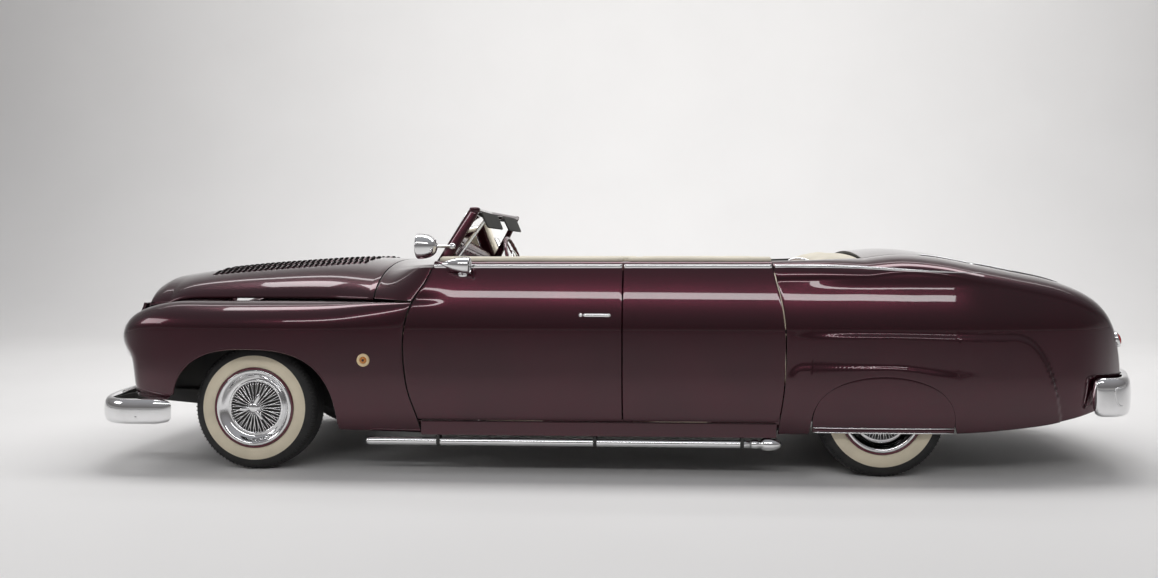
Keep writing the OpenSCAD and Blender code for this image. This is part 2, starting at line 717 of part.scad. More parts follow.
module spotlights() {
    pillar_s = (lamp_place[2] - pillar_foot[2]) / (pillar_top[2] - pillar_foot[2]);
    reach = mix(pillar_foot, pillar_top, pillar_s) - lamp_place;
    color(chrome) difference() {
        both_sides() translate(lamp_place) union() {
            rotate([0, -90, 0]) rotate_extrude()
                polygon([[0, -70], [25, -66], [50, -45], [66, -10], [72, 15], [72, 30], [60, 34], [0, 36]]);
            rotate([0, 90, atan2(reach[1], reach[0])]) cylinder(r = 9, h = norm(reach));
        }
        windshield_bars();
    }
}

pipe_z = 185;
pipe_y = half_w - 60;

module lake_pipes() {
    color(chrome) both_sides() translate([0, -pipe_y, pipe_z]) rotate([0, 90, 0]) {
        translate([0, 0, -1346]) cylinder(r = pipe_r, h = 2116);
        translate([0, 0, 770]) rotate_extrude()
            polygon([[0, 0], [18, 0], [18, 45], [31, 55], [36, 85], [33, 120], [18, 150], [0, 159]]);
        for (x = [-960, -100, 700]) translate([pipe_z - sill_z, -8, x]) cube([sill_z - pipe_z, 16, 24]);
    }
}

// ---- Cabin ---------------------------------------------------------------------------------

column_pivot = [-600, -380, 1115];

module dashboard() {
    front = cowl_rear_x + 0.8;
    color(paint) union() {
        slab([[front, 1157], [front, 930], [-900, 900], [-860, 920], [-845, 1090], [-865, 1140],
            [-900, 1155]], 256 - half_w, half_w - 256);
        translate(column_pivot) rotate([0, 90 - column_lean, 0]) {
            translate([0, 0, -630]) cylinder(r = 22, h = 590);
            translate([0, 0, -60]) cylinder(r = 11, h = 70);
        }
    }
}

module steering_wheel() {
    color(paint) translate(column_pivot) rotate([0, 90 - column_lean, 0]) union() {
        difference() {
            translate([0, 0, -38]) cylinder(r = 34, h = 62);
            translate([0, 0, -39]) cylinder(r = 11 + fit, h = 50);
        }
        rotate_extrude() translate([wheel_rim_r, 0]) circle(r = 11);
        for (a = [80, 200, 320]) rotate([0, 0, a]) translate([28, -9, -6]) cube([wheel_rim_r - 34, 18, 12]);
    }
}

module front_seat() {
    color(cream) union() {
        for (y = [-560, 140]) slab([[-420, 284], [-420, 400], [60, 380], [60, 284]], y, y + 420);
        slab([[-470, 400], [-480, 470], [-440, 520], [-100, 520], [40, 480], [60, 380]], -seat_half, seat_half);
        slab([[60, 380], [40, 480], [150, 1080], [185, 1110], [230, 1110], [252, 1080], [200, 380]],
            -seat_half, seat_half);
    }
}

module rear_seat() {
    color(cream) union() {
        for (y = [-560, 140]) slab([[560, 284], [560, 400], [980, 380], [980, 284]], y, y + 420);
        slab([[520, 400], [510, 470], [550, 520], [850, 520], [955, 480], [980, 380]], -seat_half, seat_half);
        slab([[980, 380], [955, 480], [1030, 1130], [1060, 1160], [1100, 1160], [1120, 1130], [1038, 560],
            [1038, 380]], -seat_half, seat_half);
    }
}

module top_boot() {
    color(cream) slab([[1120, 1130], [1100, 1160], [1150, 1212], [1230, 1228], [1330, 1222], [1385, 1214],
        [tonneau_front_x - slack, 1219], [tonneau_front_x - slack, 1080], [1150, 1080]], -seat_half, seat_half);
}

// ---- Axles, knuckles and wheels ------------------------------------------------------------

module rear_axle() {
    color(dark) union() {
        translate([rear_axle_x, 690, tyre_r]) rotate([90, 0, 0]) cylinder(r = 38, h = 1380);
        translate([rear_axle_x, 0, tyre_r]) sphere(r = 125);
        both_sides() translate([rear_axle_x, -689, tyre_r]) rotate([90, 0, 0])
            cylinder(r = spindle_r, h = 80);
        both_sides() slab([[900, 225], [900, 250], [1050, 252], [rear_axle_x - 60, 314],
            [rear_axle_x + 60, 318], [2000, 385], [2000, 361], [rear_axle_x, 290], [1050, 227]], -508, -448);
    }
}

module knuckle() {
    color(dark) union() {
        difference() {
            union() {
                translate([front_axle_x, -king_y, 250]) cylinder(r = 30, h = 208);
                box([front_axle_x - 28, -660, 300], [front_axle_x + 28, -king_y, 400]);
            }
            translate([front_axle_x, -king_y, 200]) cylinder(r = king_r + fit, h = 300);
        }
        translate([front_axle_x, -659, tyre_r]) rotate([90, 0, 0]) cylinder(r = spindle_r, h = 100);
    }
}

module knuckle_left() knuckle();
module knuckle_right() other_side() knuckle();

// Tyre about the line of its axle, its middle at z = 0
module tyre() {
    w = tyre_w / 2;
    color("#1c1c1d") rotate_extrude($fn = 96) polygon([[rim_r, -w + 24], [rim_r + 30, -w + 6],
        [(rim_r + tyre_r) / 2, -w], [tyre_r - 26, -w + 12], [tyre_r - 6, -w + 34], [tyre_r, -w + 60],
        [tyre_r, w - 60], [tyre_r - 6, w - 34], [tyre_r - 26, w - 12], [(rim_r + tyre_r) / 2, w],
        [rim_r + 30, w - 6], [rim_r, w - 24]]);
}

// Wheel with its cover on the outer side, +z
module wheel() {
    w = tyre_w / 2;
    color(chrome) difference() {
        rotate_extrude($fn = 96) polygon([[0, -20], [50, -20], [60, 20], [rim_r - 30, 24], [rim_r - 16, -w + 24],
            [rim_r, -w + 24], [rim_r, w - 24], [rim_r + 14, w - 15], [rim_r + 14, w - 4], [rim_r - 6, w - 2],
            [rim_r - 40, w - 34], [70, w - 20], [30, w - 6], [0, w - 2]]);
        translate([0, 0, -30]) cylinder(r = spindle_r + fit, h = 60);
    }
}

module at_front() {
    translate([front_axle_x, -front_track_y, tyre_r]) rotate([90, 0, 0]) children();
}
module at_rear() {
    translate([rear_axle_x, -rear_track_y, tyre_r]) rotate([90, 0, 0]) children();
}

module tyre_front_left() at_front() tyre();
module tyre_front_right() other_side() at_front() tyre();
module tyre_rear_left() at_rear() tyre();
module tyre_rear_right() other_side() at_rear() tyre();
module wheel_front_left() at_front() wheel();
module wheel_front_right() other_side() at_front() wheel();
module wheel_rear_left() at_rear() wheel();
module wheel_rear_right() other_side() at_rear() wheel();

chassis_frame();
engine_block();
floor_pan();
inner_fenders();
firewall();
cowl();
front_panel();
grille();
front_fender_left();
front_fender_right();
quarter_left();
quarter_right();
fender_skirts();
rear_panel();
tonneau_panel();
door_frames();
hood();
deck_lid();
front_door_left();
front_door_right();
rear_door_left();
rear_door_right();
front_bumper();
rear_bumper();
headlights();
windshield_frame();
windshield_glass();
spotlights();
lake_pipes();
dashboard();
steering_wheel();
front_seat();
rear_seat();
top_boot();
rear_axle();
knuckle_left();
knuckle_right();
tyre_front_left();
tyre_front_right();
tyre_rear_left();
tyre_rear_right();
wheel_front_left();
wheel_front_right();
wheel_rear_left();
wheel_rear_right();
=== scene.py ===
import math

import bpy
import numpy as np
from bpy.props import FloatProperty, FloatVectorProperty, IntProperty, PointerProperty
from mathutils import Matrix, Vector


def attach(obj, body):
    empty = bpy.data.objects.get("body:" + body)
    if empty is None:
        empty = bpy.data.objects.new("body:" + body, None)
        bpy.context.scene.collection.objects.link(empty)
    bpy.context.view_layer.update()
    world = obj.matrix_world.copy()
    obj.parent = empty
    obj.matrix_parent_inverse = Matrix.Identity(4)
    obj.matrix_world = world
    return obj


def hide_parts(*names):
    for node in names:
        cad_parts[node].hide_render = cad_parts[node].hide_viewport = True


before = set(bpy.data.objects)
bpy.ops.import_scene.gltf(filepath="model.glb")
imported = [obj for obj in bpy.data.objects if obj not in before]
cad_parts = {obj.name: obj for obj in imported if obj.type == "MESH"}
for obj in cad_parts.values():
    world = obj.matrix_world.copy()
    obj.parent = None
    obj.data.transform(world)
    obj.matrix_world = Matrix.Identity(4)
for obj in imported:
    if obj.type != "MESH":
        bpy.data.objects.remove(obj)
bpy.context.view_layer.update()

bl_info = {
    "name": "Lowered four-door convertible",
    "version": (1, 0, 0),
    "blender": (4, 5, 0),
    "location": "3D View > Sidebar > Convertible",
    "description": "Builds the finished surfaces of a lowered four-door convertible on its packed frame",
    "category": "Object",
}

SIDES = (("left", -1), ("right", 1))

# ---- Settings ----


def colour(name, description, value):
    """Colour setting of a finish."""
    return FloatVectorProperty(name=name, description=description, default=value, subtype="COLOR", size=3,
                               min=0.0, max=1.0)


def length(name, description, value):
    """Length setting of a piece, in metres."""
    return FloatProperty(name=name, description=description, default=value, unit="LENGTH", min=0.0)


class FinishSettings(bpy.types.PropertyGroup):
    """Colours of the car's finishes."""

    paint: colour("Body paint", "Candy colour of the body", (0.03, 0.001, 0.0065))
    flake: colour("Paint flake", "Brighter flake in the body paint", (0.12, 0.004, 0.024))
    leather: colour("Leather", "Cream leather of the seats and linings", (0.72, 0.66, 0.54))
    whitewall: colour("Whitewall", "Cream band on the tyres", (0.76, 0.68, 0.52))
    rim_ring: colour("Rim ring", "Painted ring of each wheel", (0.1, 0.008, 0.02))
    carpet: colour("Carpet", "Carpet of the floor", (0.07, 0.012, 0.02))


class BodySettings(bpy.types.PropertyGroup):
    """Sizes of the body's details."""

    seam: length("Seam", "Gap between two panels", 0.008)
    skin: length("Skin", "Thickness of a fender or lid", 0.018)
    edge: length("Edge", "Radius of a panel's edge", 0.003)
    louver_pitch: length("Louver pitch", "Distance between two louvers of a row", 0.034)
    louver_width: length("Louver width", "Width of one louver", 0.088)


class WheelSettings(bpy.types.PropertyGroup):
    """Sizes of the wheels."""

    spokes: IntProperty(name="Spokes", description="Spokes of a wheel cover", default=56, min=12, max=90)
    white_outer: length("Whitewall outside", "Outer radius of the cream band", 0.292)
    white_inner: length("Whitewall inside", "Inner radius of the cream band", 0.226)
    cover: length("Cover", "Radius of the spoked cover", 0.152)


class SeatSettings(bpy.types.PropertyGroup):
    """Sizes of the upholstery."""

    pleat: length("Pleat", "Width of one sewn pleat", 0.062)
    piping: length("Piping", "Radius of the piping", 0.006)


class StageSettings(bpy.types.PropertyGroup):
    """The floor, lights and camera."""

    floor: colour("Floor", "Colour of the floor", (0.8, 0.79, 0.78))
    camera_height: length("Camera height", "Height of the camera over the floor", 1.21)
    camera_distance: length("Camera distance", "Distance from the centre line to the camera", 6.1)


# ---- Smooth lines ----


def hermite(points, x):
    """Smooth line through points that are (place, value), straight on beyond its ends."""
    p = np.array(points, float)
    last = len(p) - 1
    lean = np.array([(p[min(i + 1, last), 1] - p[max(i - 1, 0), 1]) / (p[min(i + 1, last), 0]
                                                                       - p[max(i - 1, 0), 0])
                     for i in range(last + 1)])
    i = np.clip(np.searchsorted(p[:, 0], x, side="right"), 1, last)
    h = p[i, 0] - p[i - 1, 0]
    s = np.clip((x - p[i - 1, 0]) / h, 0, 1)
    inside = (p[i - 1, 1] * (1 + 2 * s) * (1 - s) ** 2 + p[i, 1] * s * s * (3 - 2 * s) + h
              * (lean[i - 1] * s * (1 - s) ** 2 - lean[i] * s * s * (1 - s)))
    return inside + np.minimum(x - p[0, 0], 0) * lean[0] + np.maximum(x - p[last, 0], 0) * lean[last]


def line(points, blur=0.04):
    """Function that gives the smooth line through points, eased over blur, level beyond its ends."""
    first, last = points[0][0], points[-1][0]
    step = (last - first) / 1600
    reach = int(3 * blur / step) + 1
    x = first + step * np.arange(-reach, 1601 + reach)
    weights = np.exp(-0.5 * (step * np.arange(-reach, reach + 1) / blur) ** 2)
    values = np.convolve(hermite(points, x), weights / weights.sum(), mode="valid")
    places = x[reach:-reach]
    return lambda at: np.interp(at, places, values)


def ramp(a, b, x):
    """Smooth step from 0 at a to 1 at b."""
    s = np.clip((x - a) / (b - a), 0, 1)
    return s * s * (3 - 2 * s)


def mix(a, b, s):
    """Blend from a to b."""
    return a + (b - a) * s


def unit(v):
    """Vectors of length one along the last axis."""
    return v / np.maximum(np.linalg.norm(v, axis=-1, keepdims=True), 1e-12)


# ---- The body's lines, in metres ----

HALF_W = 0.965
BELT_Z = 1.145
DOOR_Z = 0.307
SILL_Z = 0.223
DOOR_T = 0.082
MIDDLE_SEAM = 0.07
FRONT_AXLE = -2.005
REAR_AXLE = 1.469
HUB_Z = 0.35
RAIL_Z = 1.1435
HOOD_REAR = -1.33
COWL_REAR = -0.95
LID_FRONT = 2.0
LID_REAR = 2.89
TONNEAU_FRONT = 1.4
DECK_HALF = HALF_W - 0.405

taper = line([(-2.85, 0.225), (-2.78, 0.165), (-2.7, 0.117), (-2.6, 0.081), (-2.45, 0.05), (-2.2, 0.027),
              (-1.8, 0.015), (-1.0, 0.01), (0.9, 0.01), (1.4, 0.0), (1.9, 0.015), (2.2, 0.05), (2.45, 0.1),
              (2.65, 0.17), (2.78, 0.25), (2.85, 0.31), (2.9, 0.365)], 0.03)
front_seam = line([(0.223, -1.04), (0.307, -1.057), (0.5, -1.11), (0.76, -1.128), (0.95, -1.085),
                   (1.06, -1.02), (1.18, -0.975)], 0.02)
rear_seam = line([(0.223, 0.905), (0.307, 0.916), (0.5, 0.94), (0.76, 0.949), (0.95, 0.93), (1.06, 0.905),
                  (1.18, 0.88)], 0.02)
fender_front = line([(0.4, -2.695), (0.45, -2.71), (0.626, -2.745), (0.7, -2.815), (0.74, -2.832),
                     (0.8, -2.832)], 0.008)
crown_z = line([(-2.832, 0.8), (-2.76, 0.865), (-2.65, 0.912), (-2.5, 0.941), (-2.3, 0.945), (-1.1, 0.945)],
               0.02)
crown_in = line([(-2.832, 0.265), (-2.6, 0.23), (-2.0, 0.2), (-1.6, 0.165), (-1.35, 0.1), (-1.11, 0.04)])
valley_in = line([(-2.832, 0.355), (-2.5, 0.33), (-2.0, 0.293), (-1.6, 0.23), (-1.35, 0.135),
                  (-1.11, 0.06)])
hood_z = line([(-2.75, 1.083), (-2.64, 1.1), (-2.44, 1.126), (-2.11, 1.157), (-1.56, 1.19), (-1.33, 1.18),
               (-0.95, 1.168)])
deck_z = line([(1.4, 1.232), (1.6, 1.248), (1.8, 1.232), (2.0, 1.195), (2.2, 1.155), (2.48, 1.095),
               (2.7, 1.015), (2.82, 0.915), (2.88, 0.79), (2.9, 0.655)], 0.01)
quarter_in = line([(0.88, 0.193), (1.15, 0.22), (1.4, 0.325), (1.7, 0.385), (2.0, 0.405), (2.9, 0.405)])


def side_y(x, z):
    """Half width of the body side at length x and height z."""
    low = 0.075 * (np.maximum(0, 0.56 - z) / 0.34) ** 2
    high = 0.105 * (np.maximum(0, z - 0.8) / 0.345) ** 1.5
    return HALF_W - taper(x) - low - high


def deck_height(x, y):
    """Height of the deck."""
    return deck_z(x) - 0.034 * (np.abs(y) / DECK_HALF) ** 2


def hood_low(x):
    """Height of the hood's side edge."""
    return np.maximum(0.915, crown_z(x) + 0.008)


def hood_height(x, y):
    """Height of the hood and the cowl."""
    low = hood_low(x)
    across = np.minimum(1, np.abs(y) / (HALF_W - valley_in(x)))
    return low + (hood_z(x) - low) * np.maximum(0, 1 - across ** 2.7) ** 0.62


def door_relief(x, z):
    """Depth of the spear that runs on from the fender's crown into the front door."""
    fade = 1 - ramp(-1.13, -0.86, x)
    return 0.01 * fade * ramp(0.94, 0.952, z) * (1 - ramp(0.955, 1.02, z))


def quarter_relief(x, z):
    """Depth of the body above and behind the rear fender's two steps."""
    crest = 0.779 - 0.01 * ramp(1.4, 2.1, x) - 14 * np.maximum(0, x - 2.12) ** 3
    upper = 0.015 * ramp(crest - 0.012, crest + 0.01, z) * ramp(0.93, 1.35, x)
    upper = upper * (1 - ramp(1.02, 1.12, z))
    reach_x = np.maximum(0.07 - (x - 0.972), 0)
    reach_z = np.maximum(0.07 - (0.609 - 0.04 * ramp(1.5, 1.9, x) - z), 0)
    inside = ramp(-0.01, 0.01, 0.07 - np.hypot(reach_x, reach_z))
    lower = 0.009 * (1 - inside) * (1 - ramp(1.65, 2.0, x))
    return (upper + lower) * (1 - ramp(2.35, 2.6, x))


# ---- Mesh tools ----


def round_tail(points):
    """Draws the tail's corners forward, so that it is rounded as seen from above."""
    x, y = points[:, 0], np.abs(points[:, 1])
    points[:, 0] = x - 0.06 * ramp(2.3, 2.9, x) * np.minimum(1, y / 0.6) ** 3
    return points


class Piece:
    """Gathers the points and faces of one mesh, each face with the number of its material."""

    def __init__(self):
        self.points = []
        self.faces = []
        self.finish = []

    def add(self, shape, finish=0):
        """Adds a shape, which is (points, faces)."""
        points, faces = shape
        start = sum(len(p) for p in self.points)
        self.points.append(np.asarray(points, float).reshape(-1, 3))
        self.faces += [tuple(int(i) + start for i in f) for f in faces]
        self.finish += [finish] * len(faces)

    def make(self, name, materials, slot, replaces=(), body="body", edge=0.0, mirrored=False):
        """Makes the mesh, which rides on body; slot is not used."""
        points = round_tail(np.concatenate(self.points))
        faces = self.faces
        if mirrored:
            points = points * (1, -1, 1)
            faces = [f[::-1] for f in faces]
        mesh = bpy.data.meshes.new(name)
        mesh.from_pydata(points.tolist(), [], faces)
        for material in materials:
            mesh.materials.append(material)
        mesh.polygons.foreach_set("material_index", self.finish)
        mesh.polygons.foreach_set("use_smooth", [True] * len(faces))
        obj = bpy.data.objects.new(name, mesh)
        bpy.context.scene.collection.objects.link(obj)
        if edge:
            bevel = obj.modifiers.new("Edge", "BEVEL")
            bevel.width = edge
            bevel.segments = 2
            bevel.limit_method = "ANGLE"
            bevel.angle_limit = math.radians(42)
        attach(obj, body)
        if replaces:
            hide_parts(*replaces)
        return obj


def grid(points, wrap=False, caps=False):
    """Faces over rows of points; wrap closes each row, caps closes both ends."""
    p = np.asarray(points, float)
    n, m = p.shape[:2]
    i, j = np.meshgrid(np.arange(n - 1), np.arange(m if wrap else m - 1), indexing="ij")
    a = i * m + j
    b = i * m + (j + 1) % m
    faces = np.stack([a, a + m, b + m, b], -1).reshape(-1, 4).tolist()
    if caps:
        faces += [list(range(m)), [(n - 1) * m + k for k in range(m - 1, -1, -1)]]
    return p.reshape(-1, 3), faces


def outward(shape):
    """Closed shape with its faces turned outward."""
    points, faces = shape
    total = 0.0
    for face in faces:
        fan = points[list(face)]
        total += np.einsum("ij,ij->", np.cross(fan[1:-1], fan[2:]), np.broadcast_to(fan[0], fan[2:].shape))
    return (points, faces) if total > 0 else (points, [tuple(face)[::-1] for face in faces])


def normals(p):
    """Outward normals of a grid of points."""
    return unit(np.cross(np.gradient(p, axis=0), np.gradient(p, axis=1)))


def closed_panel(outer, inner, hole=None):
    """Faces of a closed thick panel: those outside, then those inside and round the rim."""
    n, m = outer.shape[:2]
    o = n * m
    kept = np.zeros((n + 1, m + 1), bool)
    kept[1:n, 1:m] = True
    if hole:
        kept[hole[0] + 1:hole[1] + 1, hole[2] + 1:hole[3] + 1] = False
    front, back = [], []
    for i in range(n - 1):
        for j in range(m - 1):
            if not kept[i + 1, j + 1]:
                continue
            a, b = i * m + j, (i + 1) * m + j
            c, d = b + 1, a + 1
            front.append((a, b, c, d))
            back.append((d + o, c + o, b + o, a + o))
            for there, e0, e1 in ((kept[i + 1, j], a, b), (kept[i + 2, j + 1], b, c),
                                  (kept[i + 1, j + 2], c, d), (kept[i, j + 1], d, a)):
                if not there:
                    back.append((e0, e0 + o, e1 + o, e1))
    return np.concatenate([outer.reshape(-1, 3), inner.reshape(-1, 3)]), front, back


def add_panel(piece, outer, inner, hole=None, outside=0, inside=1):
    """Adds a closed thick panel with one finish outside and another inside."""
    points, front, back = closed_panel(np.asarray(outer, float), np.asarray(inner, float), hole)
    piece.add((points, front + back), outside)
    piece.finish[-len(back):] = [inside] * len(back)


def tube(path, radius, sides=12, up=(0, 0, 1), closed=False, outline=None):
    """Bar along path. radius is one number, a pair (across, up) or such a row for each point."""
    p = np.asarray(path, float)
    along = unit(np.roll(p, -1, 0) - np.roll(p, 1, 0)) if closed else unit(np.gradient(p, axis=0))
    across = unit(np.cross(along, np.broadcast_to(np.asarray(up, float), p.shape)))
    top = np.cross(across, along)
    r = np.asarray(radius, float)
    if r.ndim == 0:
        r = np.full((len(p), 2), float(r))
    elif r.ndim == 1 and len(r) == 2 and len(p) != 2:
        r = np.tile(r, (len(p), 1))
    elif r.ndim == 1:
        r = np.stack([r, r], -1)
    if outline is None:
        a = np.linspace(0, 2 * np.pi, sides, endpoint=False)
        outline = np.stack([np.cos(a), np.sin(a)], -1)
    o = np.asarray(outline, float)
    rings = (p[:, None] + across[:, None] * (o[None, :, :1] * r[:, None, :1]) + top[:, None]
             * (o[None, :, 1:] * r[:, None, 1:]))
    if closed:
        rings = np.concatenate([rings, rings[:1]])
    return grid(rings, wrap=True, caps=not closed)


def lathe(profile, centre, axis, segments=48):
    """Turned shape: profile is (radius, height along the axis) from its low end."""
    axis = unit(np.asarray(axis, float))
    side = unit(np.cross(axis, (0.0, 0.0, 1.0) if abs(axis[2]) < 0.9 else (1.0, 0.0, 0.0)))
    other = np.cross(axis, side)
    a = np.linspace(0, 2 * np.pi, segments, endpoint=False)
    ring = np.cos(a)[:, None] * side + np.sin(a)[:, None] * other
    p = np.asarray(profile, float)
    points = np.asarray(centre, float) + p[:, None, :1] * ring[None] + p[:, None, 1:] * axis
    return grid(points[:, ::-1], wrap=True)


def pebble(centre, half, power=2.5):
    """Rounded block with half sizes half."""
    u = np.linspace(-np.pi / 2, np.pi / 2, 16)[:, None]
    v = np.linspace(-np.pi, np.pi, 24, endpoint=False)[None]

    def bent(w, f):
        return np.sign(f(w)) * np.abs(f(w)) ** (2 / power)

    p = np.stack([bent(u, np.cos) * bent(v, np.cos) * half[0], bent(u, np.cos) * bent(v, np.sin) * half[1],
                  bent(u, np.sin) * np.ones_like(v) * half[2]], -1)
    return grid((p + np.asarray(centre))[:, ::-1], wrap=True)


def angles(start, end, count):
    """Even steps of angle between two angles in degrees."""
    return np.radians(np.linspace(start, end, count))


def turned(points, angle):
    """Points turned by angle about the axis across the car."""
    c, s = math.cos(angle), math.sin(angle)
    x, y, z = np.moveaxis(np.asarray(points, float), -1, 0)
    return np.stack([s * z + c * x, y, c * z - s * x], -1)


def even(points, count):
    """The broken line through points, cut into even steps."""
    p = np.asarray(points, float)
    run = np.concatenate([[0], np.cumsum(np.linalg.norm(np.diff(p, axis=0), axis=1))])
    at = np.linspace(0, run[-1], count)
    return np.stack([np.interp(at, run, p[:, k]) for k in range(p.shape[1])], -1)


def rounded(points, count, radius):
    """Closed outline through points with its corners rounded over radius, in count even steps."""
    p = even(list(points) + [points[0]], count + 1)[:-1]
    total = np.linalg.norm(np.roll(p, -1, 0) - p, axis=1).sum()
    steps = max(1, int(radius / total * count * 2))
    for _ in range(steps):
        p = 0.25 * np.roll(p, 1, 0) + 0.5 * p + 0.25 * np.roll(p, -1, 0)
    return p


# ---- Finishes ----


def settings():
    """The car's settings."""
    return bpy.context.scene.convertible


def finish_nodes(name):
    """New material with its node tree and its main shader, or the one already made."""
    name = name + "_finish"
    known = bpy.data.materials.get(name)
    if known:
        return known, None, None
    material = bpy.data.materials.new(name)
    material.use_nodes = True
    tree = material.node_tree
    return material, tree, tree.nodes["Principled BSDF"]


def place(tree, scale=(1, 1, 1)):
    """Object coordinates, scaled."""
    coordinates = tree.nodes.new("ShaderNodeTexCoord")
    mapping = tree.nodes.new("ShaderNodeMapping")
    mapping.inputs["Scale"].default_value = scale
    tree.links.new(coordinates.outputs["Object"], mapping.inputs["Vector"])
    return mapping.outputs["Vector"]


def noise(tree, vector, scale, detail=3.0, roughness=0.5):
    """Cloudy pattern."""
    node = tree.nodes.new("ShaderNodeTexNoise")
    node.inputs["Scale"].default_value = scale
    node.inputs["Detail"].default_value = detail
    node.inputs["Roughness"].default_value = roughness
    tree.links.new(vector, node.inputs["Vector"])
    return node.outputs["Fac"]


def cells(tree, vector, scale, feature="F1"):
    """Pattern of cells."""
    node = tree.nodes.new("ShaderNodeTexVoronoi")
    node.feature = feature
    node.inputs["Scale"].default_value = scale
    tree.links.new(vector, node.inputs["Vector"])
    return node.outputs["Distance"]


def blend(tree, factor, dark, light, low=0.3, high=0.7):
    """Colour that runs from dark to light with factor."""
    node = tree.nodes.new("ShaderNodeValToRGB")
    node.color_ramp.elements[0].position = low
    node.color_ramp.elements[0].color = (*dark, 1)
    node.color_ramp.elements[1].position = high
    node.color_ramp.elements[1].color = (*light, 1)
    tree.links.new(factor, node.inputs["Fac"])
    return node.outputs["Color"]


def tint(tree, shader, factor, dark, light, low=0.3, high=0.7):
    """Colour of a finish, which runs from dark to light with factor."""
    tree.links.new(blend(tree, factor, dark, light, low, high), shader.inputs["Base Color"])


def roughen(tree, shader, factor, low, high):
    """Roughness of a finish, which runs from low to high with factor."""
    node = tree.nodes.new("ShaderNodeMapRange")
    node.inputs["To Min"].default_value = low
    node.inputs["To Max"].default_value = high
    tree.links.new(factor, node.inputs["Value"])
    tree.links.new(node.outputs["Result"], shader.inputs["Roughness"])


def bump(tree, shader, height, strength, distance=0.001):
    """Fine relief."""
    node = tree.nodes.new("ShaderNodeBump")
    node.inputs["Strength"].default_value = strength
    node.inputs["Distance"].default_value = distance
    tree.links.new(height, node.inputs["Height"])
    tree.links.new(node.outputs["Normal"], shader.inputs["Normal"])


def body_paint():
    """Deep candy burgundy with fine flake under clear lacquer."""
    material, tree, shader = finish_nodes("body_paint")
    if tree:
        finish = settings().finish
        at = place(tree)
        flake = cells(tree, at, 1900)
        cloud = noise(tree, at, 2.2)
        both = tree.nodes.new("ShaderNodeMath")
        both.operation = "MULTIPLY_ADD"
        both.inputs[1].default_value = 0.35
        tree.links.new(cloud, both.inputs[0])
        tree.links.new(flake, both.inputs[2])
        tint(tree, shader, both.outputs[0], finish.flake, finish.paint, 0.1, 0.75)
        roughen(tree, shader, cloud, 0.2, 0.3)
        shader.inputs["Metallic"].default_value = 0.8
        shader.inputs["Coat Weight"].default_value = 1.0
        shader.inputs["Coat Roughness"].default_value = 0.025
        shader.inputs["Coat IOR"].default_value = 1.5
        bump(tree, shader, cloud, 0.02, 0.0002)
    return material


def bright_metal(name="bright_metal", rough=0.045, tone=0.86):
    """Plated metal with faint polishing haze."""
    material, tree, shader = finish_nodes(name)
    if tree:
        at = place(tree)
        haze = noise(tree, at, 14, 4)
        tint(tree, shader, haze, (tone * 0.93,) * 3, (tone, tone, tone * 1.01))
        roughen(tree, shader, haze, rough * 0.7, rough * 1.6)
        shader.inputs["Metallic"].default_value = 1.0
        bump(tree, shader, noise(tree, at, 300, 2), 0.02, 0.0002)
    return material


def rubber():
    """Black tyre rubber, a little dusty."""
    material, tree, shader = finish_nodes("tyre_rubber")
    if tree:
        at = place(tree)
        dust = noise(tree, at, 18, 6)
        tint(tree, shader, dust, (0.012, 0.012, 0.013), (0.03, 0.029, 0.028))
        roughen(tree, shader, dust, 0.55, 0.8)
        bump(tree, shader, noise(tree, at, 700, 3), 0.15, 0.0004)
    return material


def whitewall():
    """Cream band of the tyre, slightly stained."""
    material, tree, shader = finish_nodes("whitewall")
    if tree:
        finish = settings().finish
        at = place(tree)
        stain = noise(tree, at, 9, 5)
        dark = [c * 0.86 for c in finish.whitewall]
        tint(tree, shader, stain, dark, finish.whitewall, 0.25, 0.6)
        roughen(tree, shader, stain, 0.5, 0.68)
        bump(tree, shader, noise(tree, at, 500, 2), 0.08, 0.0003)
    return material


def leather(name="cream_leather", tone=None):
    """Grained leather with soft colour changes."""
    material, tree, shader = finish_nodes(name)
    if tree:
        light = tone or settings().finish.leather
        at = place(tree)
        grain = cells(tree, at, 420, "SMOOTH_F1")
        wear = noise(tree, at, 3.5, 5)
        dark = [c * 0.84 for c in light]
        tint(tree, shader, wear, dark, light, 0.3, 0.62)
        roughen(tree, shader, wear, 0.42, 0.56)
        shader.inputs["Sheen Weight"].default_value = 0.08
        bump(tree, shader, grain, 0.3, 0.0006)
    return material


def carpet():
    """Cut pile on top of the floor, dark paint below it."""
    material, tree, shader = finish_nodes("floor_carpet")
    if tree:
        finish = settings().finish
        at = place(tree)
        pile = noise(tree, at, 420, 4, 0.7)
        dark = [c * 0.55 for c in finish.carpet]
        cloth = blend(tree, pile, dark, finish.carpet)
        facing = tree.nodes.new("ShaderNodeNewGeometry")
        parts = tree.nodes.new("ShaderNodeSeparateXYZ")
        tree.links.new(facing.outputs["Normal"], parts.inputs["Vector"])
        upward = tree.nodes.new("ShaderNodeMath")
        upward.operation = "GREATER_THAN"
        upward.inputs[1].default_value = -0.3
        tree.links.new(parts.outputs["Z"], upward.inputs[0])
        both = tree.nodes.new("ShaderNodeMix")
        both.data_type = "RGBA"
        tree.links.new(upward.outputs[0], both.inputs[0])
        both.inputs[6].default_value = (0.014, 0.014, 0.015, 1)
        tree.links.new(cloth, both.inputs[7])
        tree.links.new(both.outputs[2], shader.inputs["Base Color"])
        shader.inputs["Roughness"].default_value = 0.92
        shader.inputs["Sheen Weight"].default_value = 0.2
        bump(tree, shader, pile, 0.6, 0.002)
    return material


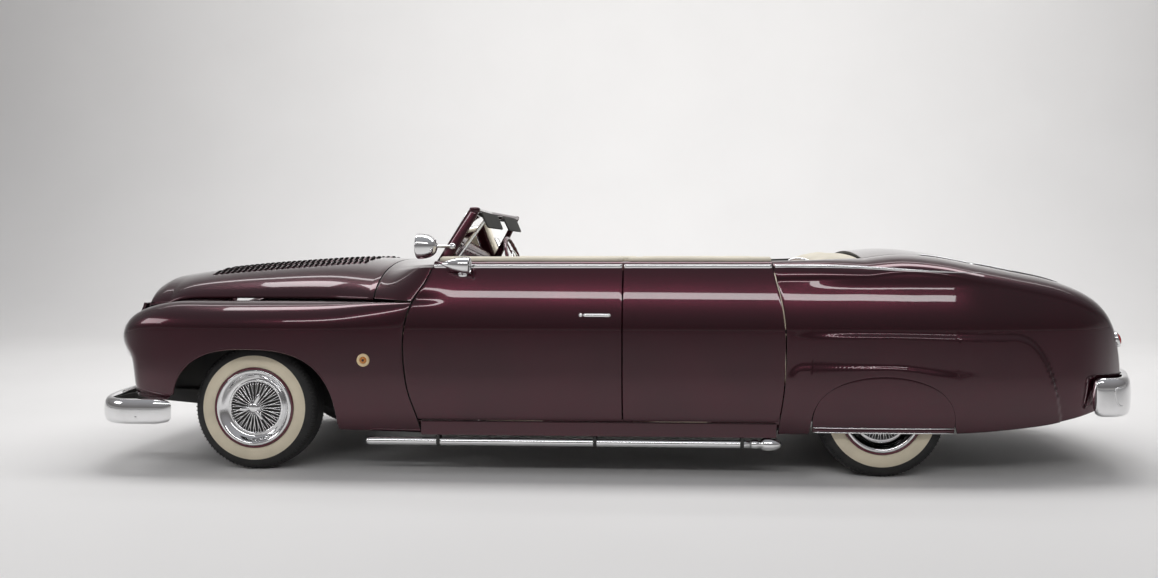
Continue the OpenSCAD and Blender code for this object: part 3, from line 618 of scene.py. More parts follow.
def dark_coat(name="chassis_black", tone=0.018, rough=0.5):
    """Satin black with road dust; near black, it also serves as painted shade in the louvers, in the rear
    bumper's openings, behind the wheel covers' spokes, behind the grille bars and under the windshield
    header.
    """
    material, tree, shader = finish_nodes(name)
    if tree:
        at = place(tree)
        dust = noise(tree, at, 6, 6)
        tint(tree, shader, dust, (tone,) * 3, (tone * 2.4, tone * 2.3, tone * 2.1))
        roughen(tree, shader, dust, rough, rough + 0.3)
        bump(tree, shader, noise(tree, at, 90, 4), 0.12, 0.001)
    return material


def engine_iron():
    """Rough cast iron."""
    material, tree, shader = finish_nodes("engine_iron")
    if tree:
        at = place(tree)
        rust = noise(tree, at, 5, 8)
        tint(tree, shader, rust, (0.06, 0.065, 0.07), (0.13, 0.12, 0.11))
        shader.inputs["Metallic"].default_value = 0.6
        shader.inputs["Roughness"].default_value = 0.62
        bump(tree, shader, noise(tree, at, 260, 5), 0.4, 0.001)
    return material


def clear_glass():
    """Thin clear pane with a faint tint."""
    material, tree, shader = finish_nodes("clear_glass")
    if tree:
        at = place(tree)
        film = noise(tree, at, 3, 3)
        tint(tree, shader, film, (0.9, 0.94, 0.93), (0.96, 0.98, 0.975))
        roughen(tree, shader, film, 0.0, 0.02)
        shader.inputs["Transmission Weight"].default_value = 1.0
        shader.inputs["IOR"].default_value = 1.12
    return material


def lamp_glass(name="lamp_glass", light=(0.8, 0.84, 0.86), dark=(0.5, 0.54, 0.56)):
    """Fluted lens over a bright reflector, drawn as one opaque surface: its grey is the reflector's silver,
    and its light and dark bands along the flutes are painted reflection.
    """
    material, tree, shader = finish_nodes(name)
    if tree:
        at = place(tree, (1, 1, 0.25))
        flutes = tree.nodes.new("ShaderNodeTexWave")
        flutes.bands_direction = "Y"
        flutes.inputs["Scale"].default_value = 42
        tree.links.new(at, flutes.inputs["Vector"])
        # Light and dark bands along the flutes: painted reflection of the reflector through the lens.
        tint(tree, shader, flutes.outputs["Fac"], dark, light, 0.1, 0.8)
        shader.inputs["Metallic"].default_value = 0.35
        shader.inputs["Roughness"].default_value = 0.16
        shader.inputs["Coat Weight"].default_value = 1.0
        shader.inputs["Coat Roughness"].default_value = 0.02
        bump(tree, shader, flutes.outputs["Fac"], 0.5, 0.002)
    return material


def gloss_plastic(name, light, rough=0.22):
    """Moulded plastic with a slight mottle."""
    material, tree, shader = finish_nodes(name)
    if tree:
        at = place(tree)
        mottle = noise(tree, at, 22, 3)
        dark = [c * 0.88 for c in light]
        tint(tree, shader, mottle, dark, light)
        roughen(tree, shader, mottle, rough, rough * 1.4)
        shader.inputs["Coat Weight"].default_value = 0.5
        bump(tree, shader, noise(tree, at, 160, 2), 0.03, 0.0004)
    return material


# ---- Body shells ----


def inset(outer, t):
    """The grid moved in by t along its normals."""
    return outer - t * normals(outer)


def arch_points(step=3.0):
    """Edge of the front wheel arch, as (x, z)."""
    a = np.radians(np.arange(166, -15, -step))
    c, s = np.cos(a), np.sin(a)
    reach, low = np.where(c < 0, 0.45, 0.5), np.where(c < 0, 0.3, 0.24)
    power = 2 / 2.6
    lift = np.sign(s) * np.abs(s) ** power
    return np.stack([FRONT_AXLE + reach * np.sign(c) * np.abs(c) ** power, low + (0.69 - low) * lift], -1)


def eased(x, reach=18):
    """Rising row of places with its crowded stretches spread out; its ends stay."""
    ends = np.concatenate([2 * x[0] - x[reach:0:-1], x, 2 * x[-1] - x[-2:-reach - 2:-1]])
    weights = np.hanning(2 * reach + 1)
    return np.convolve(ends, weights / weights.sum(), mode="valid")


def fender_grid():
    """Skin of the left front fender: one column for each point of its lower edge."""
    seam = settings().body.seam
    nose = even([(-2.832, 0.415), (-2.795, 0.41), (-2.74, 0.404), (-2.66, 0.4), (-2.48, 0.396)], 30)
    tail = even([(-1.504, 0.24), (-1.4, 0.238), (-1.29, 0.235), (-1.128, 0.228)], 26)
    arch = arch_points()
    arch = arch[(arch[:, 0] > -2.478) & (arch[:, 0] < -1.504) & (arch[:, 1] > 0.246)]
    edge = even(np.concatenate([nose, arch, tail]), 112)
    x0, e = eased(edge[:, 0])[:, None], edge[:, 1:]
    foot = edge[:, :1]
    top = crown_z(x0)
    low = np.minimum(e, top - 0.06)
    shoulder = np.maximum(low + 0.02, top - 0.15 + 0.04 * ramp(-2.4, -2.832, x0))
    front, rear = ramp(-2.48, -2.832, x0), ramp(-1.4, -1.128, x0)

    def at(z):
        return (x0 + front * (fender_front(z) + 2.832) + rear * (front_seam(z) - seam / 2 + 1.128))

    corner = np.clip((-2.752 - x0) / 0.08, 0, 1)
    tuck = 0.034 * (1 - np.sqrt(1 - corner ** 2))
    rise = np.linspace(0, 1, 30)[None]
    z = mix(low, shoulder, rise)
    x = at(z) + (foot - x0) * (1 - ramp(0, 0.9, rise)) ** 1.5
    side = np.stack([x, tuck - side_y(x, z), z], -1)
    a = angles(4, 89, 20)[None]
    z = mix(shoulder, top, np.sin(a))
    x = at(z)
    y = mix(HALF_W - crown_in(x0), side_y(x, shoulder) - tuck, np.cos(a))
    crown = np.stack([x, -y, z], -1)
    s = np.linspace(0.15, 1, 6)[None]
    reach = 0.03 * ramp(-2.832, -2.7, x0) * (1 - ramp(-1.3, -1.16, x0))
    y0, y1 = HALF_W - crown_in(x0), HALF_W - valley_in(x0) - reach
    z = top - 0.01 * s ** 2 - 0.024 * ramp(0.6, 1, s) * reach / 0.03
    x = x0 + rear * (front_seam(top) - seam / 2 + 1.128)
    inner = np.stack(np.broadcast_arrays(x, -mix(y0, y1, s), z), -1)
    return np.concatenate([side, crown, inner], 1)


def nose_at(y, z):
    """Place of the front face at y from the centre line and height z."""
    return fender_front(z) - 0.05 * (1 - (y / (HALF_W - 0.355)) ** 2)


def nose_corner(skin):
    """Face between the fender's front edge and the front panel, round the headlight."""
    start = even(skin[0, :49], 70)
    t = np.linspace(0, 1, 40)[:, None]
    y1 = -(HALF_W - 0.385)
    z = np.broadcast_to(start[None, :, 2], (40, 70))
    y = mix(start[None, :, 1], y1, t)
    bow = 0.012 * np.sin(np.pi * t)
    x = mix(start[None, :, 0], nose_at(y1, start[None, :, 2]), t ** 2) - bow
    bucket = 1 - ramp(0.088, 0.1, np.hypot(y + 0.668, z - 0.69))
    x = np.maximum(x, mix(x, -2.745, bucket))
    return np.stack([x, y, z], -1)[::-1]


def nose_filler(skin):
    """Shelf between the fender's inner edge and the front panel's side, under the hood's corner."""
    inner = skin[:, -1]
    inner = inner[inner[:, 0] < -2.56]
    inner = even(inner, 16)
    z = np.linspace(0.795, float(inner[-1, 2]), 16)
    y = -(HALF_W - 0.385)
    side = np.stack([nose_at(y, z) + 0.01 + 0.045 * ramp(0.8, 0.935, z), np.full(16, y), z], -1)
    side[8:, 0] += (inner[8:, 0] - side[8:, 0]) * ramp(0, 1, np.linspace(0, 1, 8))
    t = np.linspace(0, 1, 6)[:, None, None]
    return mix(side[None], inner[None], t)


def door_grid(front, rear, columns=70):
    """Skin and lining of a left door between two seams."""
    seam = settings().body.seam
    s = np.linspace(0, 1, columns)[:, None]
    z = np.linspace(DOOR_Z, BELT_Z, 60)[None]

    def at(height):
        return mix(front(height) + seam / 2, rear(height) - seam / 2, s)

    x = at(z)
    skin = np.stack([x, door_relief(x, z) - side_y(x, z), z * np.ones_like(x)], -1)
    a = angles(12, 90, 8)[None]
    x_top = at(np.full((1, 8), BELT_Z))
    roll = np.stack([x_top, 0.042 * (1 - np.cos(a)) - side_y(x_top, BELT_Z), BELT_Z + 0.028 * np.sin(a)
                     * np.ones_like(x_top)], -1)
    pull = 0.014 * (2 * s - 1)
    x = at(z) - pull
    inner = DOOR_T - side_y(x, np.maximum(0.56, z))
    lining = np.stack([x, inner, z * np.ones_like(x)], -1)
    x = x_top - pull
    edge = np.stack([x, DOOR_T - side_y(x, BELT_Z) - 0.004 * np.sin(a) * np.ones_like(x),
                     BELT_Z + 0.016 * np.sin(a) * np.ones_like(x)], -1)
    return np.concatenate([skin, roll], 1), np.concatenate([lining, edge], 1)


def skirt_point(a, grow=0.0):
    """Upper edge of the skirt's opening at angle a, as (x, z)."""
    return np.stack([REAR_AXLE + (0.38 + grow) * np.cos(a), 0.262 + (0.298 + grow) * np.sin(a) ** 0.7], -1)


quarter_low = line([(0.949, 0.236), (1.08, 0.24), (1.3, 0.246), (1.875, 0.25), (2.305, 0.285),
                    (2.54, 0.325), (2.687, 0.357), (2.9, 0.4)], 0.02)


def quarter_grid():
    """Skin of the left quarter: one column for each point of its lower edge."""
    seam = settings().body.seam
    front = np.linspace(0.949, 1.083, 12)
    arch = skirt_point(angles(177.5, 2.5, 44))
    tail_x = np.concatenate([np.linspace(1.862, 2.7, 66), 2.7 + 0.198 * np.linspace(0, 1, 22)[1:] ** 0.75])
    edge = np.concatenate([np.stack([front, quarter_low(front)], -1), arch,
                           np.stack([tail_x, quarter_low(tail_x)], -1)])
    x0, e = edge[:, :1], edge[:, 1:]
    y_top = HALF_W - quarter_in(x0)
    z_top = np.where(x0 < TONNEAU_FRONT, mix(BELT_Z + 0.028, deck_height(1.4, HALF_W - quarter_in(1.4)),
                                             ramp(0.88, 1.4, x0)), deck_height(x0, y_top))
    shoulder = z_top - 0.105
    low = np.minimum(e, shoulder - 0.04)
    lead = ramp(1.15, 0.949, x0)
    z = mix(low, shoulder, np.linspace(0, 1, 66)[None])
    x = x0 + lead * (rear_seam(z) + seam / 2 - 0.949)
    side = np.stack([x, quarter_relief(x, z) - side_y(x, z), z], -1)
    a = angles(4, 90, 22)[None]
    z = mix(shoulder, z_top, np.sin(a))
    x = x0 + lead * (rear_seam(z) + seam / 2 - 0.949)
    outer = side_y(x, shoulder) - quarter_relief(x, shoulder)
    crown = np.stack([x, -mix(y_top + seam / 2, outer, np.cos(a)), z], -1)
    return np.concatenate([side, crown], 1)


def skirt_grid():
    """Skin of the left fender skirt."""
    edge = skirt_point(angles(174, 6, 46), -0.0012)
    v = np.linspace(0, 1, 24)[None]
    z = mix(0.25, edge[:, 1:], v)
    x = edge[:, :1] * np.ones_like(z)
    return np.stack([x, quarter_relief(x, z) - side_y(x, z), z], -1)


def hood_grid():
    """Skin of the hood, rows from its nose back."""
    stations = [(-2.852, 0.12), (-2.858, 0.4), (-2.845, 0.68), (-2.81, 0.86), (-2.75, 1.0), (-2.64, 1.0),
                (-2.5, 1.0), (-2.33, 1.0), (-2.1, 1.0), (-1.85, 1.0), (-1.6, 1.0), (HOOD_REAR, 1.0)]
    steps = np.arange(len(stations), dtype=float)
    k = np.linspace(0, len(stations) - 1, 84)
    x = hermite(list(zip(steps, [s[0] for s in stations])), k)[:, None]
    share = np.minimum(hermite(list(zip(steps, [s[1] for s in stations])), k), 1)[:, None]
    v = np.sin(np.pi / 2 * np.linspace(-1, 1, 67))[None]
    w = HALF_W - valley_in(x) - 0.004
    low = hood_low(x)
    z = low + (hood_height(x, v * w) - low) * share
    back = 0.12 * ramp(-2.5, -2.858, x) * v * v
    return np.stack(np.broadcast_arrays(x + back, v * w, z), -1)


cowl_rear_z = [(0, 1.168), (0.2, 1.166), (0.42, 1.16), (0.63, 1.148), (0.8, 1.115), (0.93, 1.045),
               (1, 0.953)]
cowl_rear_y = [(0, 0), (0.2, 0.3), (0.42, HALF_W - 0.375), (0.63, HALF_W - 0.185), (1, HALF_W - 0.185)]


def cowl_point(x, v):
    """Point of the cowl at length x and share v of the way across."""
    s = ramp(HOOD_REAR, -1.0, x)
    w = HALF_W - valley_in(x) - 0.002
    z2 = hermite(cowl_rear_z, np.abs(v))
    y2 = np.where(np.abs(v) > 0.7, side_y(x, z2), hermite(cowl_rear_y, np.abs(v)))
    return np.stack(np.broadcast_arrays(x, mix(v * w, np.sign(v) * y2, s),
                                        mix(hood_height(x, v * w), z2, s)), -1)


def cowl_grid():
    """Skin of the cowl, rows from the hood back."""
    seam = settings().body.seam
    v = np.sin(np.pi / 2 * np.linspace(-1, 1, 73))
    at_door = cowl_point(np.full_like(v, -1.0), v)
    spare = np.maximum(0, side_y(-1.0, at_door[:, 2]) - DOOR_T - seam - np.abs(at_door[:, 1]))
    end = np.minimum(COWL_REAR, front_seam(at_door[:, 2]) - seam / 2 + 8 * spare)
    s = np.linspace(0, 1, 26)[:, None]
    x = mix(HOOD_REAR + seam, end[None], s)
    return cowl_point(x, np.broadcast_to(v[None], x.shape))


def deck_grid(x, half):
    """Rows of the deck across the car."""
    v = np.linspace(-1, 1, 61)[None]
    half = np.asarray(half).reshape(-1, 1)
    x = np.asarray(x).reshape(-1, 1)
    y = v * half
    return np.stack(np.broadcast_arrays(x, y, deck_height(x, y)), -1)


# ---- Operators: body ----


def painted(piece, name, replaces=(), body="body", mirrored=False):
    """Makes a body shell that is painted outside and dark inside."""
    return piece.make(name, [body_paint(), dark_coat()], "body_paint", replaces, body=body,
                      edge=settings().body.edge, mirrored=mirrored)


def hinge_arm(piece, centre, axis, start, end, finish=0):
    """Curved arm of a hidden hinge, about a line through centre."""
    a = angles(start, end, 14)
    axis = np.asarray(axis, float)
    path = [np.asarray(centre) + 0.08 * (math.cos(t) * np.array([1, 0, 0]) + math.sin(t) * axis) for t in a]
    piece.add(tube(path, (0.0098, 0.0118), 10, up=np.cross((1, 0, 0), axis)), finish)


class BuildFenders(bpy.types.Operator):
    """Front fenders with their brow, arch bead and marker ring."""

    bl_idname = "convertible.fenders"
    bl_label = "Front fenders"

    def execute(self, context):
        body = settings().body
        skin = fender_grid()
        corner = nose_corner(skin)
        arch = arch_points(2.0)
        arch = arch[(arch[:, 1] > 0.25) & ((arch[:, 0] > -2.2) | (arch[:, 1] > 0.402))]
        bead = [(x, 0.004 - float(side_y(x, z)), z) for x, z in arch]
        for side, sign in SIDES:
            piece = Piece()
            add_panel(piece, skin, inset(skin, body.skin))
            add_panel(piece, corner, corner + (0.01, 0, 0), inside=0)
            filler = nose_filler(skin)
            add_panel(piece, filler, filler - (0, 0, 0.01), inside=0)
            piece.add(tube(bead, (0.006, 0.005), 8, up=(0, 1, 0)))
            painted(piece, "fender_front_" + side, ["front_fender_" + side], mirrored=sign > 0)
            marker = Piece()
            at = np.array([-1.346, -float(side_y(-1.346, 0.632)), 0.632])
            marker.add(lathe([(0.02, -0.004), (0.035, -0.004), (0.036, 0.002), (0.032, 0.006),
                              (0.024, 0.0065), (0.019, 0.003), (0.0185, -0.002)], at, (0, -1, 0)))
            marker.add(lathe([(0.0185, -0.002), (0.0185, 0.002), (0.012, 0.006), (0.001, 0.008)], at,
                             (0, -1, 0), 32), 1)
            marker.add(lathe([(0.0075, 0.006), (0.006, 0.009), (0.0005, 0.0095)], at, (0, -1, 0), 24), 2)
            marker.make("marker_lamp_" + side, [gloss_plastic("marker_cream", (0.8, 0.62, 0.36)),
                                                gloss_plastic("marker_amber", (0.62, 0.22, 0.03), 0.1),
                                                dark_coat()], "bright_metal", mirrored=sign > 0)
        return {"FINISHED"}


class BuildHood(bpy.types.Operator):
    """Hood with its louvers and hinge arms, and the cowl behind it."""

    bl_idname = "convertible.hood"
    bl_label = "Hood and cowl"

    def execute(self, context):
        body = settings().body
        skin = hood_grid()
        hood = Piece()
        add_panel(hood, skin, inset(skin, body.skin))
        for column, out in ((0, 1), (-1, -1)):
            edge = skin[3:, column] + (0, 0.003 * out, -0.005)
            hood.add(tube(edge, (0.0045, 0.0095), 10))
        for y in (-0.3, 0.3):
            hinge_arm(hood, (HOOD_REAR, y, 1.18), (0, 0, 1), 195, 325, 1)
        painted(hood, "hood_panel", ["hood"], "hood")
        self.louvers(body)
        skin = cowl_grid()
        cowl = Piece()
        add_panel(cowl, skin, inset(skin, body.skin))
        painted(cowl, "cowl_panel", ["cowl"])
        return {"FINISHED"}

    def louvers(self, body):
        """Rows of punched louvers that open to the rear."""
        piece = Piece()
        u = np.linspace(0, np.pi, 9)[:, None]
        v = np.linspace(0, 1, 5)[None]
        for row in (-0.385, -0.27, -0.155, 0.155, 0.27, 0.385):
            for x0 in np.arange(-2.46, -1.54, body.louver_pitch):
                half = body.louver_width / 2
                y = row - half * np.cos(u) * np.ones_like(v)
                rise = 0.0115 * np.sin(u) ** 0.7 * np.sin(v * np.pi / 2) ** 0.8
                x = x0 + 0.024 * v * np.ones_like(u)
                top = np.stack([x, y, hood_height(x, y) + rise - 0.0008], -1)
                piece.add(grid(top[:, ::-1]))
                lip = np.stack([top[:, -1], top[:, -1] - (0.003, 0, 0)], 1)
                floor = lip.copy()
                floor[:, :, 2] = hood_height(floor[:, :, 0], floor[:, :, 1]) + 0.0004
                piece.add(grid(np.stack([lip[:, 1], floor[:, 1]], 1)), 1)
        piece.make("hood_louvers", [body_paint(), dark_coat("louver_shadow", 0.004, 0.9)], "body_paint",
                   body="hood")


class BuildDoors(bpy.types.Operator):
    """Doors with their linings, belt rails, padded top rolls and hinge arms."""

    bl_idname = "convertible.doors"
    bl_label = "Doors"

    def execute(self, context):
        body = settings().body

        def middle(z):
            return np.full_like(np.asarray(z, float), MIDDLE_SEAM)

        for place_name, front, rear, hinge, arc in (("front", front_seam, middle, -1.123, (62, 155)),
                                                    ("rear", middle, rear_seam, 0.944, (118, 25))):
            skin, lining = door_grid(front, rear)
            x0 = float(front(np.array(BELT_Z))) + 0.006
            x1 = float(rear(np.array(BELT_Z))) - 0.006
            for side, sign in SIDES:
                name = "%s_door_%s" % (place_name, side)
                door = Piece()
                add_panel(door, skin, lining)
                for z in (0.48, 0.78):
                    hinge_arm(door, (hinge, -0.955, z + 0.012), (0, 1, 0), arc[0], arc[1], 2)
                door.make(name + "_shell", [body_paint(), body_paint(), dark_coat()], "body_paint", [name],
                          body=name, edge=body.edge, mirrored=sign > 0)
                self.lining(name, lining, x0, x1, sign)
                self.rail(name + "_belt_rail", name, x0, x1, sign)
                self.roll(name, x0, x1, sign)
        return {"FINISHED"}

    def lining(self, name, lining, x0, x1, sign):
        """Pleated leather panel, chrome strips and pull on the inside."""
        pitch = settings().seats.pleat
        inside = lining[3:-3, 6:-14]
        x = inside[..., 0]
        lift = 0.006 + 0.007 * np.abs(np.sin(np.pi * (x - x0) / pitch)) ** 0.6
        edge = np.minimum(1, np.minimum(np.arange(len(x)), np.arange(len(x))[::-1]) / 2.0)[:, None]
        fine = inside + (0, 1, 0) * (lift * edge)[..., None]
        piece = Piece()
        piece.add(grid(fine[::-1]))
        z_top = float(inside[0, -1, 2])
        for z in (z_top, float(inside[0, 0, 2])):
            path = [(t, DOOR_T - float(side_y(t, max(0.56, z))) + 0.006, z)
                    for t in np.linspace(x0 + 0.05, x1 - 0.05, 40)]
            piece.add(tube(path, (0.005, 0.004), 8), 1)
        middle = (x0 + x1) / 2
        y = DOOR_T - float(side_y(middle, 0.8))
        grip = [(middle - 0.12, y, 0.985), (middle - 0.11, y + 0.03, 0.985),
                (middle - 0.05, y + 0.045, 0.985), (middle + 0.05, y + 0.045, 0.985),
                (middle + 0.11, y + 0.03, 0.985), (middle + 0.12, y, 0.985)]
        piece.add(tube(even(grip, 24), (0.009, 0.012)), 1)
        knob = (middle + 0.28, y, 0.96)
        piece.add(lathe([(0.022, 0.0), (0.022, 0.006), (0.012, 0.012), (0.01, 0.026), (0.001, 0.028)], knob,
                        (0, 1, 0), 24), 1)
        piece.add(tube(even([(knob[0], y + 0.022, 0.96), (knob[0] - 0.08, y + 0.03, 0.93)], 8),
                       (0.006, 0.004), 8), 1)
        piece.make(name + "_lining", [leather(), bright_metal()], "upholstery", body=name,
                   mirrored=sign > 0)

    def rail(self, name, body, x0, x1, sign):
        """Bright rail along the belt."""
        x = np.linspace(x0, x1, 60)
        z = np.full_like(x, RAIL_Z)
        path = np.stack([x, -side_y(x, z) - 0.001, z], -1)
        piece = Piece()
        piece.add(tube(path, (0.0055, 0.0115)))
        piece.make(name, [bright_metal()], "bright_metal", body=body, mirrored=sign > 0)

    def roll(self, name, x0, x1, sign):
        """Padded leather roll along the top of the door."""
        x = np.linspace(x0 + 0.02, x1, 80)
        sag = 1 + 0.02 * np.sin(x * 31) * np.sin(x * 7)
        path = np.stack([x, 0.06 - side_y(x, BELT_Z), 1.1745 + 0 * x], -1)
        size = np.stack([0.026 * sag, 0.0235 * sag], -1)
        fade = np.minimum(1, np.minimum(x - x[0], x[-1] - x) / 0.012 + 0.35) ** 0.5
        piece = Piece()
        piece.add(tube(path, size * fade[:, None], 20))
        for dy in (-0.0245, 0.0245):
            seam_path = path + (0, dy, -0.006)
            piece.add(tube(seam_path[2:-2], 0.0028, 6))
        roll = piece.make(name + "_top_roll", [leather()], "upholstery", body=name, mirrored=sign > 0)


class BuildQuarters(bpy.types.Operator):
    """Quarters with their stepped fenders, skirts with a bright lip, sills and belt rails."""

    bl_idname = "convertible.quarters"
    bl_label = "Quarters, skirts and sills"

    def execute(self, context):
        body = settings().body
        skin = quarter_grid()
        skirt = skirt_grid()
        for side, sign in SIDES:
            piece = Piece()
            add_panel(piece, skin, inset(skin, body.skin))
            painted(piece, "quarter_panel_" + side, ["quarter_" + side], mirrored=sign > 0)
            piece = Piece()
            add_panel(piece, skirt, inset(skirt, body.skin))
            painted(piece, "skirt_" + side, ["fender_skirts"] if sign < 0 else (), mirrored=sign > 0)
            self.lip(side, sign)
            self.sill(side, sign)
            self.rail(side, sign)
        return {"FINISHED"}

    def lip(self, side, sign):
        """Bright-edged lip along the skirt's lower edge."""
        x = np.linspace(1.092, 1.848, 60)
        end = np.minimum(1, (x - x[0]) / 0.02 + 0.1) * np.minimum(1, (x[-1] - x) / 0.06 + 0.1)
        z = 0.266 - 0.001 * np.sin((x - 1.09) * 4)
        y = -side_y(x, z) - 0.001
        piece = Piece()
        piece.add(tube(np.stack([x, y, z], -1), np.stack([0.01 * end, 0.016 * end], -1), 14))
        for rise in (0.012, -0.012):
            piece.add(tube(np.stack([x, y - 0.007, z + rise], -1), 0.0035 * end, 8), 1)
        piece.make("skirt_lip_" + side, [body_paint(), bright_metal()], "bright_metal", mirrored=sign > 0)

    def sill(self, side, sign):
        """Sill under the doors."""
        seam = settings().body.seam
        x = np.linspace(-1.036, 0.903, 60)[:, None]
        z = np.concatenate([np.linspace(DOOR_Z - seam, SILL_Z + 0.012, 14), [SILL_Z + 0.004, SILL_Z]])[None]
        y = -side_y(x, z) + np.where(z < SILL_Z + 0.01, (SILL_Z + 0.012 - z) * 1.4, 0)
        skin = np.stack([x * np.ones_like(z), y, z * np.ones_like(x)], -1)[:, ::-1]
        piece = Piece()
        add_panel(piece, skin, skin + (0, 0.012, 0))
        piece.make("sill_" + side, [body_paint(), dark_coat()], "body_paint", edge=0.002, mirrored=sign > 0)

    def rail(self, side, sign):
        """Rear stretch of the belt rail, which sinks into the quarter."""
        x = np.linspace(0.897, 2.02, 90)
        z = RAIL_Z - 0.034 * ramp(1.1, 2.02, x)
        size = 1 - 0.85 * ramp(1.2, 2.02, x)
        skin = quarter_grid()
        crown = skin[:, 58:].reshape(-1, 3)
        y = np.array([crown[np.argmin((crown[:, 0] - a) ** 2 * 0.6 + (crown[:, 2] - b) ** 2), 1] for a,
                      b in zip(x, z)])
        weights = np.hanning(15) / np.hanning(15).sum()
        y = np.convolve(np.pad(y, 7, mode="edge"), weights, mode="valid")
        piece = Piece()
        piece.add(tube(np.stack([x, y - 0.001, z], -1), np.stack([0.0055 * size, 0.0115 * size], -1)))
        piece.make("quarter_belt_rail_" + side, [bright_metal()], "bright_metal", mirrored=sign > 0)


class BuildDeck(bpy.types.Operator):
    """Tonneau panel, deck lid with its trim, and the rear panel."""

    bl_idname = "convertible.deck"
    bl_label = "Deck"

    def execute(self, context):
        body = settings().body
        x = np.linspace(TONNEAU_FRONT, LID_FRONT - body.seam, 40)
        skin = deck_grid(x, HALF_W - quarter_in(x) + body.seam / 2 - 0.002)
        piece = Piece()
        add_panel(piece, skin, inset(skin, body.skin))
        painted(piece, "tonneau_skin", ["tonneau_panel"])
        run = np.linspace(0, 1, 90)
        x = LID_FRONT + (LID_REAR - LID_FRONT) * (1 - (1 - run) ** 1.6)
        skin = deck_grid(x, np.full_like(x, DECK_HALF - body.seam / 2))
        piece = Piece()
        add_panel(piece, skin, inset(skin, body.skin))
        for y in (-0.38, 0.38):
            hinge_arm(piece, (LID_FRONT, y, 1.195), (0, 0, 1), -25, -145, 1)
        painted(piece, "deck_lid_panel", ["deck_lid"], "deck_lid")
        self.trim(skin)
        y = np.linspace(-0.554, 0.554, 40)[:, None]
        rise = np.linspace(0, 1, 14)[None]
        z = mix(0.462, deck_height(LID_REAR, y) - 0.014, rise)
        skin = np.stack([LID_REAR - 0.004 - 0.012 * np.sin(rise * np.pi) * np.ones_like(y),
                         y * np.ones_like(z), z], -1)
        piece = Piece()
        add_panel(piece, skin, skin - (body.skin, 0, 0))
        painted(piece, "rear_valance", ["rear_panel"])
        return {"FINISHED"}

    def trim(self, skin):
        """Thin bright strips along the lid's sides and its handle."""
        piece = Piece()
        for column in (1, -2):
            path = even(skin[1:40, column] + (0, 0, 0.004), 60)
            size = np.minimum(1, np.linspace(0.2, 8, 60)) * np.minimum(1, np.linspace(8, 0.2, 60))
            piece.add(tube(path, np.stack([0.004 * size, 0.004 * size], -1), 8))
        handle = [(2.868, -0.07, 0.8), (2.905, -0.06, 0.795), (2.912, 0.0, 0.793), (2.905, 0.06, 0.795),
                  (2.868, 0.07, 0.8)]
        piece.add(tube(even(handle, 24), (0.01, 0.008)))
        piece.make("deck_lid_trim", [bright_metal()], "bright_metal", body="deck_lid")


class BuildNose(bpy.types.Operator):
    """Front panel with its opening and the bar grille."""

    bl_idname = "convertible.nose"
    bl_label = "Front panel and grille"

    def execute(self, context):
        body = settings().body
        y = np.concatenate([np.linspace(0.585, 0.4875, 6), np.linspace(0.47, -0.47, 41),
                            np.linspace(-0.4875, -0.585, 6)])
        z = np.concatenate([np.linspace(0.415, 0.49, 7), np.linspace(0.505, 0.615, 9),
                            np.linspace(0.63, 0.925, 22)])
        yy, zz = np.meshgrid(y, z, indexing="ij")
        skin = np.stack([nose_at(yy, zz) + 0.045 * ramp(0.8, 0.935, zz), yy, zz], -1)
        piece = Piece()
        add_panel(piece, skin, inset(skin, body.skin), hole=(5, 47, 6, 16), inside=0)
        piece.make("front_face", [body_paint()], "body_paint", ["front_panel"], edge=body.edge)
        grille = Piece()
        for z0 in (0.516, 0.55, 0.584, 0.612):
            v = np.linspace(-1, 1, 60) * 0.484
            path = np.stack([nose_at(v, z0) + 0.02, v, np.full_like(v, z0)], -1)
            grille.add(tube(path, (0.013, 0.008), 14))
        for y0 in np.linspace(-0.42, 0.42, 9):
            grille.add(pebble((float(nose_at(y0, 0.56)) + 0.03, y0, 0.563), (0.008, 0.006, 0.066), 4))
        corners = [(-0.4875, 0.49), (0.4875, 0.49), (0.4875, 0.63), (-0.4875, 0.63)]
        rim = rounded(corners, 160, 0.02)
        path = np.stack([nose_at(rim[:, 0], rim[:, 1]) - 0.001, rim[:, 0], rim[:, 1]], -1)
        grille.add(tube(path, 0.008, 10, up=(1, 0, 0), closed=True))
        grille.make("bar_grille", [bright_metal()], "bright_metal", ["grille"])
        # Near-black sheet behind the bars: painted shade that fills the grille opening.
        shade_sheet = Piece()
        yy, zz = np.meshgrid(np.linspace(0.484, -0.484, 30), np.linspace(0.492, 0.628, 8), indexing="ij")
        shade_sheet.add(grid(np.stack([nose_at(yy, zz) + 0.055, yy, zz], -1)))
        shade_sheet.make("grille_shade_sheet", [dark_coat("grille_painted_shade", 0.008, 0.8)], "chassis_black")
        shields = Piece()
        for y in (-0.402, 0.402):
            shields.add(pebble((-2.5, y, 0.5), (0.23, 0.006, 0.13), 6))
        shields.make("splash_shields", [dark_coat()], "chassis_black")
        return {"FINISHED"}


# ---- Operators: bright parts and lamps ----


BOLT = [(0.014, -0.006), (0.014, 0.002), (0.01, 0.006), (0.0005, 0.0075)]


def bumper_plan(centre_x, depth, side_y0, power, end_x):
    """Plan of a front bumper, from its left end round to its right end."""
    back = centre_x + depth
    a = angles(-90, 90, 90)
    curve = np.stack([back - depth * np.cos(a) ** (2 / power), side_y0 * np.sign(a)
                      * np.abs(np.sin(a)) ** (2 / power)], -1)
    straight = np.linspace(end_x, back, 10)[:-1]
    left = np.stack([straight, np.full(9, -side_y0)], -1)
    return np.concatenate([left, curve, left[::-1] * (1, -1)])


